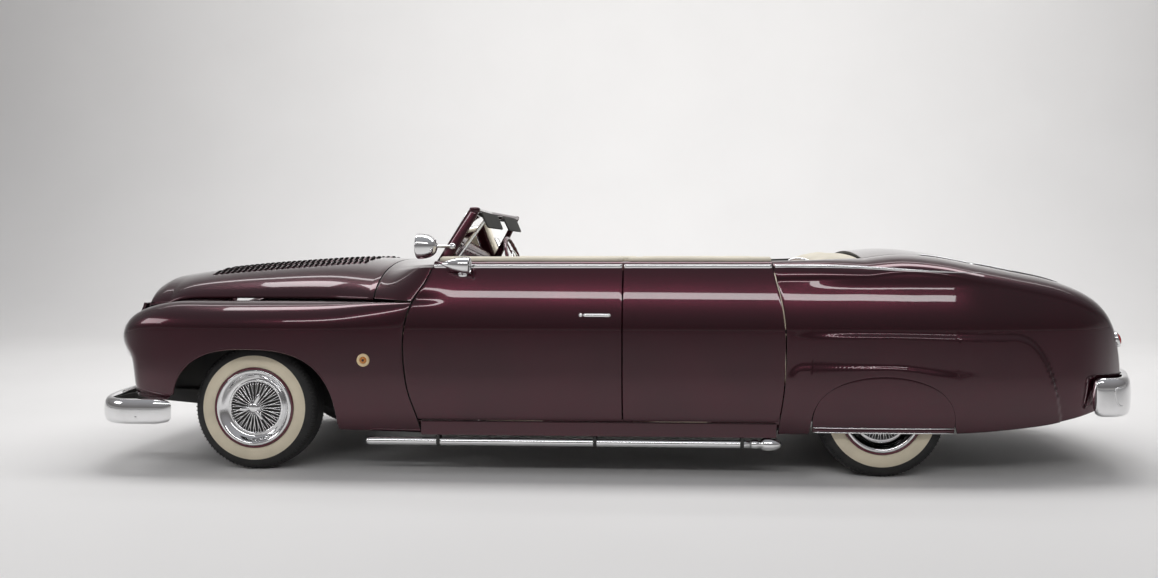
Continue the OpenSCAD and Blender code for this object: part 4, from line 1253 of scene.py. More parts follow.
def bumper_shell(plan, z, half_h, out, power=2.6, close=0.1):
    """Domed blade along a plan, with rounded ends."""
    p = even(plan, 150)
    t = unit(np.gradient(p, axis=0))
    n = np.stack([-t[:, 1], t[:, 0]], -1)
    if n[75, 0] * p[75, 0] < 0:
        n = -n
    run = np.linspace(0, np.linalg.norm(np.diff(p, axis=0), axis=1).sum(), 150)
    end = np.minimum(run, run[-1] - run) / close
    end = np.sqrt(1 - (1 - np.clip(end, 0, 1)) ** 2) * 0.65 + 0.35 * np.clip(end, 0, 1) ** 0.3
    a = np.linspace(0, 2 * np.pi, 36, endpoint=False)
    cx = np.sign(np.cos(a)) * np.abs(np.cos(a)) ** (2 / power)
    cz = np.sign(np.sin(a)) * np.abs(np.sin(a)) ** (2 / power)
    depth = np.where(cx > 0, out * cx, 0.014 * cx)
    rings = np.zeros((150, 36, 3))
    rings[..., 0] = p[:, None, 0] + n[:, None, 0] * depth[None] * end[:, None]
    rings[..., 1] = p[:, None, 1] + n[:, None, 1] * depth[None] * end[:, None]
    rings[..., 2] = z + half_h * cz[None] * (0.55 + 0.45 * end[:, None])
    return rings


class BuildBumpers(bpy.types.Operator):
    """Front and rear bumpers with their bolts, brackets and the rear one's side openings."""

    bl_idname = "convertible.bumpers"
    bl_label = "Bumpers"

    def execute(self, context):
        plan = bumper_plan(-2.962, 0.3, 0.925, 2.6, -2.44)
        piece = Piece()
        rings = bumper_shell(plan, 0.338, 0.07, 0.038)
        piece.add(outward(grid(rings, wrap=True, caps=True)))
        for y in (-0.74, -0.36, 0.36, 0.74):
            k = int(np.argmin(np.abs(rings[:, 0, 1] - y) + (rings[:, 0, 0] > -2.7)))
            at = rings[k, 0]
            piece.add(lathe(BOLT, at - (0, 0, 0.028), (-1, 0.25 * np.sign(y), -0.15), 20))
        piece.add(lathe(BOLT, (-2.62, -0.9555, 0.31), (0, -1, 0), 20))
        for y in (-0.41, 0.41):
            piece.add(pebble((-2.875, y, 0.35), (0.085, 0.03, 0.02), 6), 1)
        piece.make("bumper_front", [bright_metal(), dark_coat()], "bright_metal", ["front_bumper"])
        plan = bumper_plan(-2.962, 0.24, 0.815, 2.5, -2.64) * (-1, 1)
        piece = Piece()
        rings = bumper_shell(plan, 0.44, 0.105, 0.038, 3.2, 0.05)
        piece.add(outward(grid(rings, wrap=True, caps=True)))
        for y in (-0.41, 0.41):
            piece.add(pebble((2.87, y, 0.43), (0.09, 0.03, 0.026), 6), 1)
        for sign in (-1, 1):
            outline = rounded([(2.752, 0.492), (2.846, 0.5), (2.842, 0.422), (2.8, 0.388), (2.768, 0.41)],
                              60, 0.05)
            at = [self.on_side(plan, x, sign) for x in outline[:, 0]]
            ring = np.array([(x, y, z) for (x, z), y in zip(outline, at)])
            piece.add(tube(ring, 0.005, 8, up=(0, 1, 0), closed=True))
            middle = ring.mean(0)
            rows = np.stack([ring + (middle - ring) * k for k in (0.0, 0.5, 0.999)])
            piece.add(grid(rows if sign > 0 else rows[::-1], wrap=True), 2)
        piece.make("bumper_rear", [bright_metal(), dark_coat(), dark_coat("opening_shadow", 0.003, 0.9)],
                   "bright_metal", ["rear_bumper"])
        return {"FINISHED"}

    def on_side(self, plan, x, sign):
        """Outer face of the rear bumper at length x."""
        half = plan[plan[:, 1] * sign > 0]
        order = np.argsort(half[:, 0])
        return sign * (np.abs(np.interp(x, half[order, 0], np.abs(half[order, 1]))) + 0.0385)


class BuildLamps(bpy.types.Operator):
    """Headlights, tail lamps and spotlights."""

    bl_idname = "convertible.lamps"
    bl_label = "Lamps"

    def execute(self, context):
        piece = Piece()
        for sign in (-1, 1):
            centre = np.array([-2.76, 0.668 * sign, 0.69])
            piece.add(lathe([(0.06, -0.02), (0.086, -0.016), (0.0865, 0.018), (0.089, 0.026),
                             (0.088, 0.034), (0.083, 0.041), (0.077, 0.04), (0.074, 0.032)], centre,
                            (-1, 0, 0), 64))
            arc = angles(90, 1, 14)
            dome = [(0.0755 * math.sin(a), 0.03 + 0.04 * math.cos(a)) for a in arc]
            piece.add(lathe(dome, centre, (-1, 0, 0), 64), 1)
        piece.make("headlight_pair", [bright_metal(), lamp_glass()], "bright_metal", ["headlights"])
        skin = quarter_grid().reshape(-1, 3)
        tail = skin[skin[:, 0] > 2.5]
        piece = Piece()
        for sign in (-1, 1):
            at = tail[np.argmin((tail[:, 1] + 0.61) ** 2 + (tail[:, 2] - 0.74) ** 2)] * (1, -sign, 1)
            axis = (0.9, 0.3 * sign, 0.25)
            piece.add(lathe([(0.03, -0.02), (0.044, -0.016), (0.045, 0.006), (0.042, 0.013), (0.037, 0.013),
                             (0.035, 0.007)], at, axis, 40))
            arc = angles(90, 2, 9)
            piece.add(lathe([(0.036 * math.sin(a), 0.006 + 0.02 * math.cos(a)) for a in arc], at, axis, 40),
                      1)
        piece.make("tail_lamps", [bright_metal(), gloss_plastic("tail_red", (0.45, 0.012, 0.01), 0.08)],
                   "bright_metal")
        self.spotlights()
        return {"FINISHED"}

    def spotlights(self):
        """Spotlights with their stems, on the windshield pillars."""
        piece = Piece()
        for sign in (-1, 1):
            centre = np.array([-1.052, 0.8 * sign, 1.255])
            piece.add(lathe([(0.0005, -0.076), (0.018, -0.074), (0.036, -0.067), (0.051, -0.054),
                             (0.062, -0.035), (0.069, -0.012), (0.0715, 0.01), (0.072, 0.023),
                             (0.072, 0.031), (0.069, 0.036), (0.064, 0.037), (0.062, 0.033)], centre,
                            (-1, 0, 0), 56))
            piece.add(lathe([(0.0625, 0.031), (0.055, 0.0345), (0.04, 0.038), (0.02, 0.04),
                             (0.0005, 0.0405)], centre, (-1, 0, 0), 56), 1)
            share = (1.255 - 1.1) / 0.365
            foot = mix(np.array([-0.998, 0.742 * sign, 1.1]), np.array([-0.8, 0.64 * sign, 1.465]), share)
            stem = even([centre + (0.045, 0, 0), mix(centre, foot, 0.6) + (0.02, 0, 0),
                         foot + (0.004, 0, 0)], 12)
            piece.add(tube(stem, 0.009))
            piece.add(pebble(centre + (0.052, 0, 0), (0.02, 0.017, 0.017)))
            piece.add(lathe([(0.02, -0.004), (0.02, 0.003), (0.013, 0.008), (0.0005, 0.01)],
                            foot + (0, 0.016 * sign, 0), (0, sign, 0.2), 24))
        piece.make("spotlight_pair", [bright_metal(), lamp_glass()], "bright_metal", ["spotlights"])


PILLAR_FOOT = np.array([-0.998, -0.742, 1.1])
PILLAR_TOP = np.array([-0.8, -0.64, 1.465])
CENTRE_FOOT = np.array([-1.1, 0.0, 1.148])
CENTRE_TOP = np.array([-0.862, 0.0, 1.472])


class BuildWindshield(bpy.types.Operator):
    """Windshield frame and its two panes."""

    bl_idname = "convertible.windshield"
    bl_label = "Windshield"

    def execute(self, context):
        piece = Piece()
        oval = np.radians(np.arange(0, 360, 15))
        outline = np.stack([np.sign(np.cos(oval)) * np.abs(np.cos(oval)) ** 0.7,
                            np.sign(np.sin(oval)) * np.abs(np.sin(oval)) ** 0.7], -1)
        for sign in (1, -1):
            flip = np.array([1, sign, 1])
            s = np.linspace(-0.03, 1.0, 20)[:, None]
            path = mix(PILLAR_FOOT, PILLAR_TOP, s) * flip
            size = np.stack([mix(0.034, 0.029, s[:, 0]), mix(0.0145, 0.0155, s[:, 0])], -1)
            piece.add(tube(path, size, up=(0, 1, 0), outline=outline))
            piece.add(pebble(PILLAR_TOP * flip, (0.031, 0.018, 0.0165), 3.2))
            bead = mix(PILLAR_FOOT, PILLAR_TOP, np.linspace(0.03, 0.95, 12)[:, None]) * flip - (0.034, 0, 0)
            piece.add(tube(bead, (0.004, 0.006), 8, up=(0, 1, 0)), 1)
        across = np.linspace(-1, 1, 60)[:, None]
        header = mix(CENTRE_TOP, PILLAR_TOP * (1, 0, 1), np.abs(across) ** 1.15) + (0, 0.64, 0) * across
        piece.add(tube(header, (0.031, 0.0145), outline=outline))
        piece.add(tube(header[2:-2] - (0.031, 0, 0.006), (0.004, 0.005), 8), 1)
        # Near-black strip under the header: painted shade under the header.
        piece.add(tube(header[2:-2] - (-0.004, 0, 0.0145), (0.02, 0.004), 8), 2)
        s = np.linspace(0.0, 0.99, 12)[:, None]
        piece.add(tube(mix(CENTRE_FOOT, CENTRE_TOP, s), (0.011, 0.007), up=(0, 1, 0)), 1)
        # The visors take the same near-black finish.
        for sign in (-1, 1):
            board = np.array([[-0.79, 1.452], [-0.745, 1.362], [-0.735, 1.364], [-0.775, 1.46]])
            shape, faces = sweep_across(rounded(board, 40, 0.004), 0.235, 0.03)
            piece.add((shape + (0, 0.33 * sign, 0), faces), 2)
        piece.make("windshield_surround",
                   [body_paint(), bright_metal(), dark_coat("under_header_shade", 0.02, 0.8)], "body_paint",
                   ["windshield_frame"])
        pane = Piece()
        for sign in (1, -1):
            columns = np.stack([self.pane_column(t) for t in np.linspace(0, 1, 14)])
            front = columns * (1, sign, 1)
            front = front if sign > 0 else front[::-1]
            back = front + (0.006, 0, 0)
            points, outside, inside = closed_panel(front, back)
            pane.add((points, outside + inside))
        pane.make("windshield_panes", [clear_glass()], "clear_glass", ["windshield_glass"])
        seal = Piece()
        foot = np.stack([self.pane_column(t)[0] for t in np.linspace(0, 1, 24)])
        foot = np.concatenate([foot, foot[::-1][1:] * (1, -1, 1)]) + (0.003, 0, 0.001)
        seal.add(tube(foot, (0.007, 0.005), 8))
        seal.make("windshield_seal", [dark_coat("seal_black", 0.01, 0.6)], "chassis_black")
        return {"FINISHED"}

    def pane_column(self, t):
        """Column of a pane at share t of the way from its pillar to the divider."""
        foot = mix(PILLAR_FOOT + (0, 0.0166, 0), CENTRE_FOOT - (0, 0.0094, 0), t)
        top = mix(PILLAR_TOP + (0, 0.0166, -0.0166), CENTRE_TOP - (0, 0.0094, 0.0166), t)
        v = np.linspace(0, 0.8, 30)
        low = 0
        for step in range(7):
            row = cowl_point(np.full_like(v, foot[0] + 0.01 * step), v)
            low = max(low, float(np.interp(abs(foot[1]), row[:, 1], row[:, 2])))
        start = (low + 0.0015 - foot[2]) / (top[2] - foot[2])
        return mix(foot, top, np.linspace(start, 1, 12)[:, None]) - (0.003, 0, 0)


class BuildTrim(bpy.types.Operator):
    """Door handles, mirrors, side exhausts and the small trim of the tail."""

    bl_idname = "convertible.trim"
    bl_label = "Trim and side exhausts"

    def execute(self, context):
        self.handles()
        self.pipes()
        piece = Piece()
        x = np.linspace(1.73, 2.05, 40)
        half = HALF_W - quarter_in(x) + 0.001
        for sign in (-1, 1):
            end = np.minimum(1, np.minimum(x - 1.725, 2.055 - x) / 0.02)
            path = np.stack([x, half * sign, deck_height(x, half) + 0.004], -1)
            piece.add(tube(path, np.stack([0.005 * end, 0.004 * end], -1), 8))
            at = (2.02, sign * (HALF_W - float(quarter_in(2.02)) + 0.045), float(deck_height(2.02, 0.6))
                  - 0.012)
            piece.add(lathe([(0.011, -0.02), (0.011, 0.004), (0.016, 0.01), (0.014, 0.018),
                             (0.0005, 0.021)], at, (0, 0.4 * sign, 1), 24))
        piece.make("tail_trim", [bright_metal()], "bright_metal")
        return {"FINISHED"}

    def handles(self):
        """Bar handles and pointed mirrors of the front doors."""
        for side, sign in SIDES:
            piece = Piece()
            y = -float(side_y(-0.07, 0.88))
            bar = [(-0.14, y - 0.01, 0.88), (-0.12, y - 0.0135, 0.881), (-0.04, y - 0.0135, 0.881),
                   (0.01, y - 0.01, 0.88)]
            size = np.array([[0.004, 0.006]] + [[0.0055, 0.009]] * 14 + [[0.003, 0.004]])
            piece.add(tube(even(bar, 16), size))
            for x in (-0.126, -0.022):
                piece.add(lathe([(0.011, -0.004), (0.01, 0.004), (0.007, 0.012)], (x, y, 0.88), (0, -1, 0),
                                24))
            piece.add(lathe([(0.01, -0.003), (0.01, 0.003), (0.006, 0.006), (0.0005, 0.0065)],
                            (-0.155, y, 0.88), (0, -1, 0), 24))
            centre = (-0.83, -0.908, 1.152)
            piece.add(lathe([(0.04, -0.062), (0.0435, -0.062), (0.0455, -0.055), (0.045, -0.03),
                             (0.041, 0.0), (0.032, 0.035), (0.02, 0.065), (0.008, 0.088), (0.0005, 0.098)],
                            centre, (-1, 0, 0.05), 40))
            piece.add(lathe([(0.0005, -0.0585), (0.0405, -0.0585), (0.0415, -0.062)], centre, (-1, 0, 0.05),
                            40), 1)
            y = -float(side_y(-0.815, 1.1))
            stem = even([(-0.815, y + 0.004, 1.098), (-0.815, y - 0.012, 1.106), (-0.818, -0.905, 1.13)],
                        10)
            piece.add(tube(stem, (0.01, 0.008), up=(1, 0, 0)))
            piece.add(pebble((-0.815, y - 0.002, 1.098), (0.024, 0.007, 0.013), 3))
            piece.make("door_handle_and_mirror_" + side,
                       [bright_metal(), bright_metal("mirror_face", 0.01, 0.9)], "bright_metal",
                       body="front_door_" + side, mirrored=sign > 0)

    def pipes(self):
        """Side exhausts under the sills, with pointed ends and brackets."""
        piece = Piece()
        for sign in (-1, 1):
            y = 0.905 * sign
            x = np.concatenate([-1.346 + 0.021 * (1 - np.cos(np.linspace(0.2, np.pi / 2, 8))),
                                np.linspace(-1.3, 0.76, 40)])
            r = np.concatenate([0.021 * np.sin(np.linspace(0.2, np.pi / 2, 8)), np.full(40, 0.021)])
            piece.add(tube(np.stack([x, np.full(48, y), np.full(48, 0.185)], -1), r, 28))
            piece.add(lathe([(0.0205, -0.006), (0.0235, -0.002), (0.0235, 0.028), (0.019, 0.034),
                             (0.019, 0.046), (0.028, 0.052), (0.0335, 0.064), (0.0355, 0.082),
                             (0.0345, 0.102), (0.0295, 0.124), (0.021, 0.142), (0.0105, 0.154),
                             (0.0005, 0.159)], (0.77, y, 0.185), (1, 0, 0), 40))
            for at in (-0.94, -0.08, 0.715):
                strap = [(at, y - 0.0225 * math.cos(a), 0.185 - 0.0225 * math.sin(a))
                         for a in angles(0, 180, 16)]
                strap = [(at, y - 0.0225, 0.222)] + strap + [(at, y + 0.0225, 0.222)]
                piece.add(tube(strap, (0.01, 0.0016), 8, up=(0, 0.02, 1)), 1)
        piece.make("side_exhausts", [bright_metal(), dark_coat()], "bright_metal", ["lake_pipes"])


SPOKE_LEAN = 0.1


class BuildWheels(bpy.types.Operator):
    """Tyres with a cream band, and wheels with spoked covers."""

    bl_idname = "convertible.wheels"
    bl_label = "Wheels and tyres"

    def execute(self, context):
        sizes = settings().wheels
        for end, x, track in (("front", FRONT_AXLE, 0.755), ("rear", REAR_AXLE, 0.77)):
            for side, sign in SIDES:
                name = "%s_%s" % (end, side)
                centre = np.array([x, -track, HUB_Z])
                self.tyre(name, centre, sizes, sign)
                self.wheel(name, centre, sizes, sign)
        return {"FINISHED"}

    def tyre(self, name, centre, sizes, sign):
        """One tyre."""
        inner, outer = sizes.white_inner, sizes.white_outer
        half = [(0.196, 0.071), (inner - 0.012, 0.08), (inner, 0.0865)]
        band = [(inner, 0.088), (inner + 0.008, 0.0915), (inner + 0.024, 0.0942), (inner + 0.04, 0.0945),
                (outer - 0.012, 0.0925), (outer, 0.089)]
        shoulder = [(outer, 0.0872), (0.302, 0.085), (0.318, 0.079), (0.332, 0.07), (0.341, 0.061),
                    (0.3465, 0.052), (0.349, 0.044)]
        tread = []
        for h in (0.031, 0.0105, -0.0105, -0.031):
            tread += [(0.35, h + 0.0035), (0.3435, h + 0.0025), (0.3435, h - 0.0025), (0.35, h - 0.0035)]
        back = [(r, -h) for r, h in shoulder[::-1]] + [(r, -h) for r,
                                                       h in band[::-1]] + [(r, -h) for r, h in half[::-1]]
        piece = Piece()
        piece.add(lathe(back[::-1] + tread[::-1] + shoulder[::-1], centre, (0, -1, 0), 112))
        piece.add(lathe(band[::-1], centre, (0, -1, 0), 112), 1)
        piece.add(lathe(half[::-1], centre, (0, -1, 0), 112))
        piece.add(lathe([(0.196, 0.071), (0.196, -0.071)], centre, (0, -1, 0), 112))
        for k in range(96):
            a = k * 2 * math.pi / 96
            for side in (-1, 1):
                at = centre + (0.3385 * math.cos(a), side * 0.0655, 0.3385 * math.sin(a))
                out = np.array([math.cos(a), side * 0.75, math.sin(a)])
                path = [at - 0.012 * out * (1, -1.2, 1) + 0.003 * out, at + 0.0025 * out,
                        at + 0.012 * out * (1, -1.2, 1) * 0.6]
                piece.add(tube(path, (0.003, 0.0022), 6, up=(0, 1, 0.01)))
        piece.make("tyre_shape_" + name, [rubber(), whitewall()], "tyre", ["tyre_" + name],
                   body="roadwheel_" + name, mirrored=sign > 0)

    def wheel(self, name, centre, sizes, sign):
        """One wheel with its spoked cover."""
        axis = (0, -1, 0)
        piece = Piece()
        piece.add(lathe([(0.0005, -0.02), (0.05, -0.02), (0.06, 0.016), (0.16, 0.022), (0.176, -0.062),
                         (0.184, -0.071), (0.1955, -0.071), (0.1955, 0.071), (0.212, 0.0815),
                         (0.2245, 0.0895)], centre, axis, 96), 3)
        piece.add(lathe([(0.2245, 0.0885), (0.2255, 0.0915), (0.2235, 0.094), (0.215, 0.0945),
                         (0.2125, 0.0925)], centre, axis, 96), 1)
        piece.add(lathe([(0.213, 0.0905), (0.2115, 0.0945), (0.2075, 0.0965), (0.201, 0.0965),
                         (0.195, 0.094), (0.189, 0.088), (0.18, 0.076), (0.17, 0.066), (0.162, 0.061),
                         (0.156, 0.06)], centre, axis, 96))
        cover = sizes.cover
        piece.add(lathe([(0.157, 0.059), (0.1565, 0.065), (cover + 0.001, 0.069), (cover - 0.006, 0.069),
                         (cover - 0.01, 0.065)], centre, axis, 96))
        piece.add(lathe([(cover - 0.009, 0.058), (0.11, 0.058), (0.07, 0.064), (0.03, 0.072)], centre, axis,
                        64), 2)
        for k in range(sizes.spokes):
            a = 2 * math.pi * k / sizes.spokes
            b = a + SPOKE_LEAN * (1 if k % 2 else -1)
            rise = 0.0025 if k % 2 else 0.0
            path = [(0.026 * math.cos(b), -(0.084 - rise), 0.026 * math.sin(b)),
                    (0.085 * math.cos((a + b) / 2), -(0.075 - rise), 0.085 * math.sin((a + b) / 2)),
                    ((cover - 0.007) * math.cos(a), -0.0665, (cover - 0.007) * math.sin(a))]
            piece.add(tube(even(path, 6) + centre, 0.0026, 6, up=(0, 1, 0)))
        piece.add(lathe([(0.036, 0.073), (0.036, 0.086), (0.033, 0.09), (0.029, 0.0915), (0.027, 0.096),
                         (0.022, 0.1), (0.01, 0.1025), (0.0005, 0.103)], centre, axis))
        for degrees in (68, 188, 308):
            a = math.radians(degrees)
            mid = centre + (0.05 * math.cos(a), -0.0955, 0.05 * math.sin(a))
            points, faces = pebble((0, 0, 0), (0.034, 0.0065, 0.0105), 2.2)
            piece.add((turned(points, -a) + mid, faces))
        piece.make("wheel_shape_" + name,
                   [bright_metal(), gloss_plastic("rim_ring", settings().finish.rim_ring, 0.14),
                    dark_coat("cover_shadow", 0.02, 0.5), dark_coat("rim_inside", 0.03, 0.5)],
                   "bright_metal", ["wheel_" + name], body="roadwheel_" + name, mirrored=sign > 0)


# ---- Operators: cabin ----


def sweep_across(profile, half, ends=0.02, steps=40):
    """Closed outline in (x, z) swept across the car, with rounded ends."""
    p = np.asarray(profile, float)
    middle = p.mean(0)
    e = angles(0, 90, 8)
    y = np.concatenate([-half + ends * (1 - np.sin(e)), np.linspace(-half + ends, half - ends, steps)[1:-1],
                        half - ends * (1 - np.sin(e[::-1]))])
    y = np.sort(y)
    near = np.clip((half - np.abs(y)) / ends, 0, 1)
    size = np.sqrt(1 - (1 - near) ** 2)
    reach = np.abs(p - middle).max()
    share = 1 - (1 - size)[:, None, None] * ends / reach
    rings = np.zeros((len(y), len(p), 3))
    flat = middle + (p[None] - middle) * share
    rings[..., 0], rings[..., 2] = flat[..., 0], flat[..., 1]
    rings[..., 1] = y[:, None]
    return outward(grid(rings, wrap=True, caps=True))


class BuildDashboard(bpy.types.Operator):
    """Dashboard with its dials and column, and the steering wheel."""

    bl_idname = "convertible.dashboard"
    bl_label = "Dashboard and steering wheel"

    def execute(self, context):
        outline = rounded([(-0.949, 1.152), (-0.949, 0.935), (-0.902, 0.902), (-0.868, 0.915),
                           (-0.846, 1.085), (-0.862, 1.135), (-0.9, 1.153)], 90, 0.012)
        piece = Piece()
        piece.add(sweep_across(outline, 0.708, 0.01))
        face = np.array([1.0, 0, 0.1])
        for y, z, r in ((-0.38, 1.01, 0.062), (-0.245, 1.005, 0.036), (-0.515, 1.005, 0.036),
                        (0.0, 1.04, 0.04)):
            x = float(np.interp(z, [0.915, 1.085], [-0.868, -0.846]))
            at = (x - 0.002, y, z)
            piece.add(lathe([(r + 0.004, -0.004), (r + 0.003, 0.006), (r, 0.009), (r - 0.005, 0.006)], at,
                            face), 1)
            piece.add(lathe([(r - 0.004, 0.005), (r * 0.5, 0.0055), (0.0005, 0.0055)], at, face, 40), 2)
            tip = np.array([0, r * 0.6, r * 0.25])
            piece.add(tube([np.array(at) + 0.0075 * face, np.array(at) + 0.0075 * face + tip],
                           (0.0014, 0.0014), 6), 1)
        for k in range(15):
            y = 0.13 + 0.016 * k
            path = [(-0.8585 + 0.11 * (z - 0.98), y, z) for z in np.linspace(0.955, 1.07, 6)]
            piece.add(tube(np.array(path) + (0.004, 0, 0), (0.0055, 0.004), 8, up=(0, 1, 0)), 1)
        for y in (-0.14, -0.09, 0.43, 0.48):
            piece.add(lathe([(0.01, -0.002), (0.01, 0.004), (0.0125, 0.008), (0.0125, 0.018),
                             (0.0005, 0.021)], (-0.864, y, 0.945), face, 24), 1)
        rail = [(-0.8505, y, 0.926) for y in np.linspace(-0.68, 0.68, 40)]
        piece.add(tube(rail, (0.004, 0.0065), 10), 1)
        axis = np.array([math.cos(math.radians(18)), 0, math.sin(math.radians(18))])
        pivot = np.array([-0.6, -0.38, 1.115])
        column = [pivot + axis * k for k in np.linspace(-0.585, -0.045, 12)]
        piece.add(tube(column, (0.0215, 0.0215), 28, up=(0, 1, 0)))
        piece.add(lathe([(0.0215, -0.105), (0.0265, -0.1), (0.03, -0.07), (0.028, -0.046), (0.011, -0.043),
                         (0.011, 0.006)], pivot, axis, 32), 1)
        stalk = [pivot - 0.075 * axis + (0, 0.02, 0), pivot - 0.07 * axis + (0, 0.1, 0.03),
                 pivot - 0.07 * axis + (0, 0.155, 0.052)]
        piece.add(tube(even(stalk, 10), (0.005, 0.005), 10), 1)
        piece.add(pebble(stalk[-1], (0.012, 0.014, 0.012)), 2)
        piece.make("instrument_panel",
                   [body_paint(), bright_metal(), gloss_plastic("dial_cream", (0.62, 0.56, 0.44), 0.3)],
                   "body_paint", ["dashboard"])
        self.steering_wheel(pivot, axis)
        return {"FINISHED"}

    def steering_wheel(self, pivot, axis):
        """Thin rim with a horn ring and three spokes."""
        piece = Piece()
        a = np.radians(np.arange(0, 360, 3))
        down = np.array([math.sin(math.radians(18)), 0, -math.cos(math.radians(18))])
        side = np.array([0, 1.0, 0])

        def ring(angle, r, lift):
            return pivot + r * (np.cos(angle)[..., None] * down + np.sin(angle)[..., None]
                                * side) + lift * axis

        grips = 0.0105 + 0.0008 * np.cos(a * 30) * (np.abs(np.sin(a)) > 0.3)
        piece.add(tube(ring(a, 0.2, 0.0), np.stack([grips, grips], -1), 16, up=axis, closed=True))
        piece.add(tube(ring(a[::2], 0.118, 0.012), 0.0042, 10, up=axis, closed=True), 1)
        for degrees in (80, 200, 320):
            t = np.array([math.radians(degrees)])
            path = np.concatenate([ring(t, r, lift) for r, lift in ((0.03, 0.008), (0.075, 0.01),
                                                                    (0.14, 0.004), (0.193, 0.0))])
            piece.add(tube(even(path, 12), (0.0085, 0.005), up=axis))
            piece.add(tube(even(path[:3] + 0.005 * axis, 8), (0.003, 0.002), 8, up=axis), 1)
        piece.add(lathe([(0.011, -0.0375), (0.0335, -0.0375), (0.034, -0.01), (0.034, 0.01), (0.03, 0.016),
                         (0.026, 0.0165)], pivot, axis, 40))
        piece.add(lathe([(0.0262, 0.014), (0.0255, 0.019), (0.019, 0.023), (0.0005, 0.0245)], pivot, axis,
                        40), 1)
        piece.make("steering_wheel_shape",
                   [gloss_plastic("wheel_rim_burgundy", (0.085, 0.006, 0.018), 0.12), bright_metal()],
                   "wheel_rim_plastic", ["steering_wheel"], body="steering_wheel")


def stuffed(obj, reach):
    """Gives the points of a cushion filled by a short cloth simulation that moves no point over reach."""
    mesh = obj.data
    start = np.array([v.co[:] for v in mesh.vertices])
    cloth = obj.modifiers.new("Cloth", "CLOTH")
    cloth.settings.use_pressure = True
    cloth.settings.uniform_pressure_force = 4.0
    cloth.settings.tension_stiffness = 40
    cloth.settings.compression_stiffness = 30
    cloth.settings.bending_stiffness = 6
    cloth.settings.quality = 6
    cloth.settings.effector_weights.gravity = 0
    cloth.collision_settings.use_collision = False
    cloth.point_cache.frame_start = 1
    cloth.point_cache.frame_end = 20
    scene = bpy.context.scene
    for frame_number in range(1, 21):
        scene.frame_set(frame_number)
    graph = bpy.context.evaluated_depsgraph_get()
    result = obj.evaluated_get(graph).data
    moved = np.array([v.co[:] for v in result.vertices]) - start
    obj.modifiers.remove(cloth)
    scene.frame_set(1)
    size = np.linalg.norm(moved, axis=1, keepdims=True)
    kept = reach * np.tanh(size / reach)
    return start + moved * kept / np.maximum(size, 1e-9)


def cushion(name, profile, half, box, pleat_axis, reach, replaces=()):
    """One cushion: swept block, remeshed, filled, kept inside box, then pleated."""
    piece = Piece()
    piece.add(sweep_across(profile, half - 0.01, 0.035, 50))
    obj = piece.make(name, [leather()], "upholstery", replaces)
    bpy.context.view_layer.objects.active = obj
    for other in bpy.context.selected_objects:
        other.select_set(False)
    obj.select_set(True)
    remesh = obj.modifiers.new("Even", "REMESH")
    remesh.mode = "VOXEL"
    remesh.voxel_size = 0.0175
    bpy.ops.object.modifier_apply(modifier=remesh.name)
    points = np.array([v.co[:] for v in obj.data.vertices])
    points = stuffed(obj, reach)
    low, high = np.array(box[0]), np.array(box[1])
    points = low + np.clip((points - low) / (high - low), 0, 1) * (high - low)
    obj.data.vertices.foreach_set("co", points.ravel())
    obj.data.update()
    smooth = obj.modifiers.new("Fine", "SUBSURF")
    smooth.levels = 1
    smooth.render_levels = 1
    bpy.ops.object.modifier_apply(modifier=smooth.name)
    pleats(obj, pleat_axis, half)
    for polygon in obj.data.polygons:
        polygon.use_smooth = True


def pleats(obj, facing, half):
    """Sewn channels on the side that faces facing, with a plain border round them."""
    pitch = settings().seats.pleat
    mesh = obj.data
    count = len(mesh.vertices)
    p = np.zeros(count * 3)
    n = np.zeros(count * 3)
    mesh.vertices.foreach_get("co", p)
    mesh.vertices.foreach_get("normal", n)
    p, n = p.reshape(-1, 3), n.reshape(-1, 3)
    facing = unit(np.asarray(facing, float))
    toward = np.clip((n @ facing - 0.72) / 0.2, 0, 1)
    inside = ramp(half - 0.075, half - 0.105, np.abs(p[:, 1]))
    wave = np.abs(np.sin(np.pi * p[:, 1] / pitch)) ** 0.55
    depth = 0.011 * (1 - wave) * toward * inside
    border = np.exp(-((np.abs(p[:, 1]) - (half - 0.08)) / 0.006) ** 2) * toward * 0.008
    p -= n * (depth + border)[:, None]
    mesh.vertices.foreach_set("co", p.ravel())
    mesh.update()


def piping(piece, profile, y, grow):
    """Piping round a cushion's end."""
    p = np.asarray(profile, float)
    middle = p.mean(0)
    p = middle + (p - middle) * (1 + grow)
    path = np.stack([p[:, 0], np.full(len(p), y), p[:, 1]], -1)
    piece.add(tube(path, settings().seats.piping, 8, up=(0, 1, 0), closed=True))


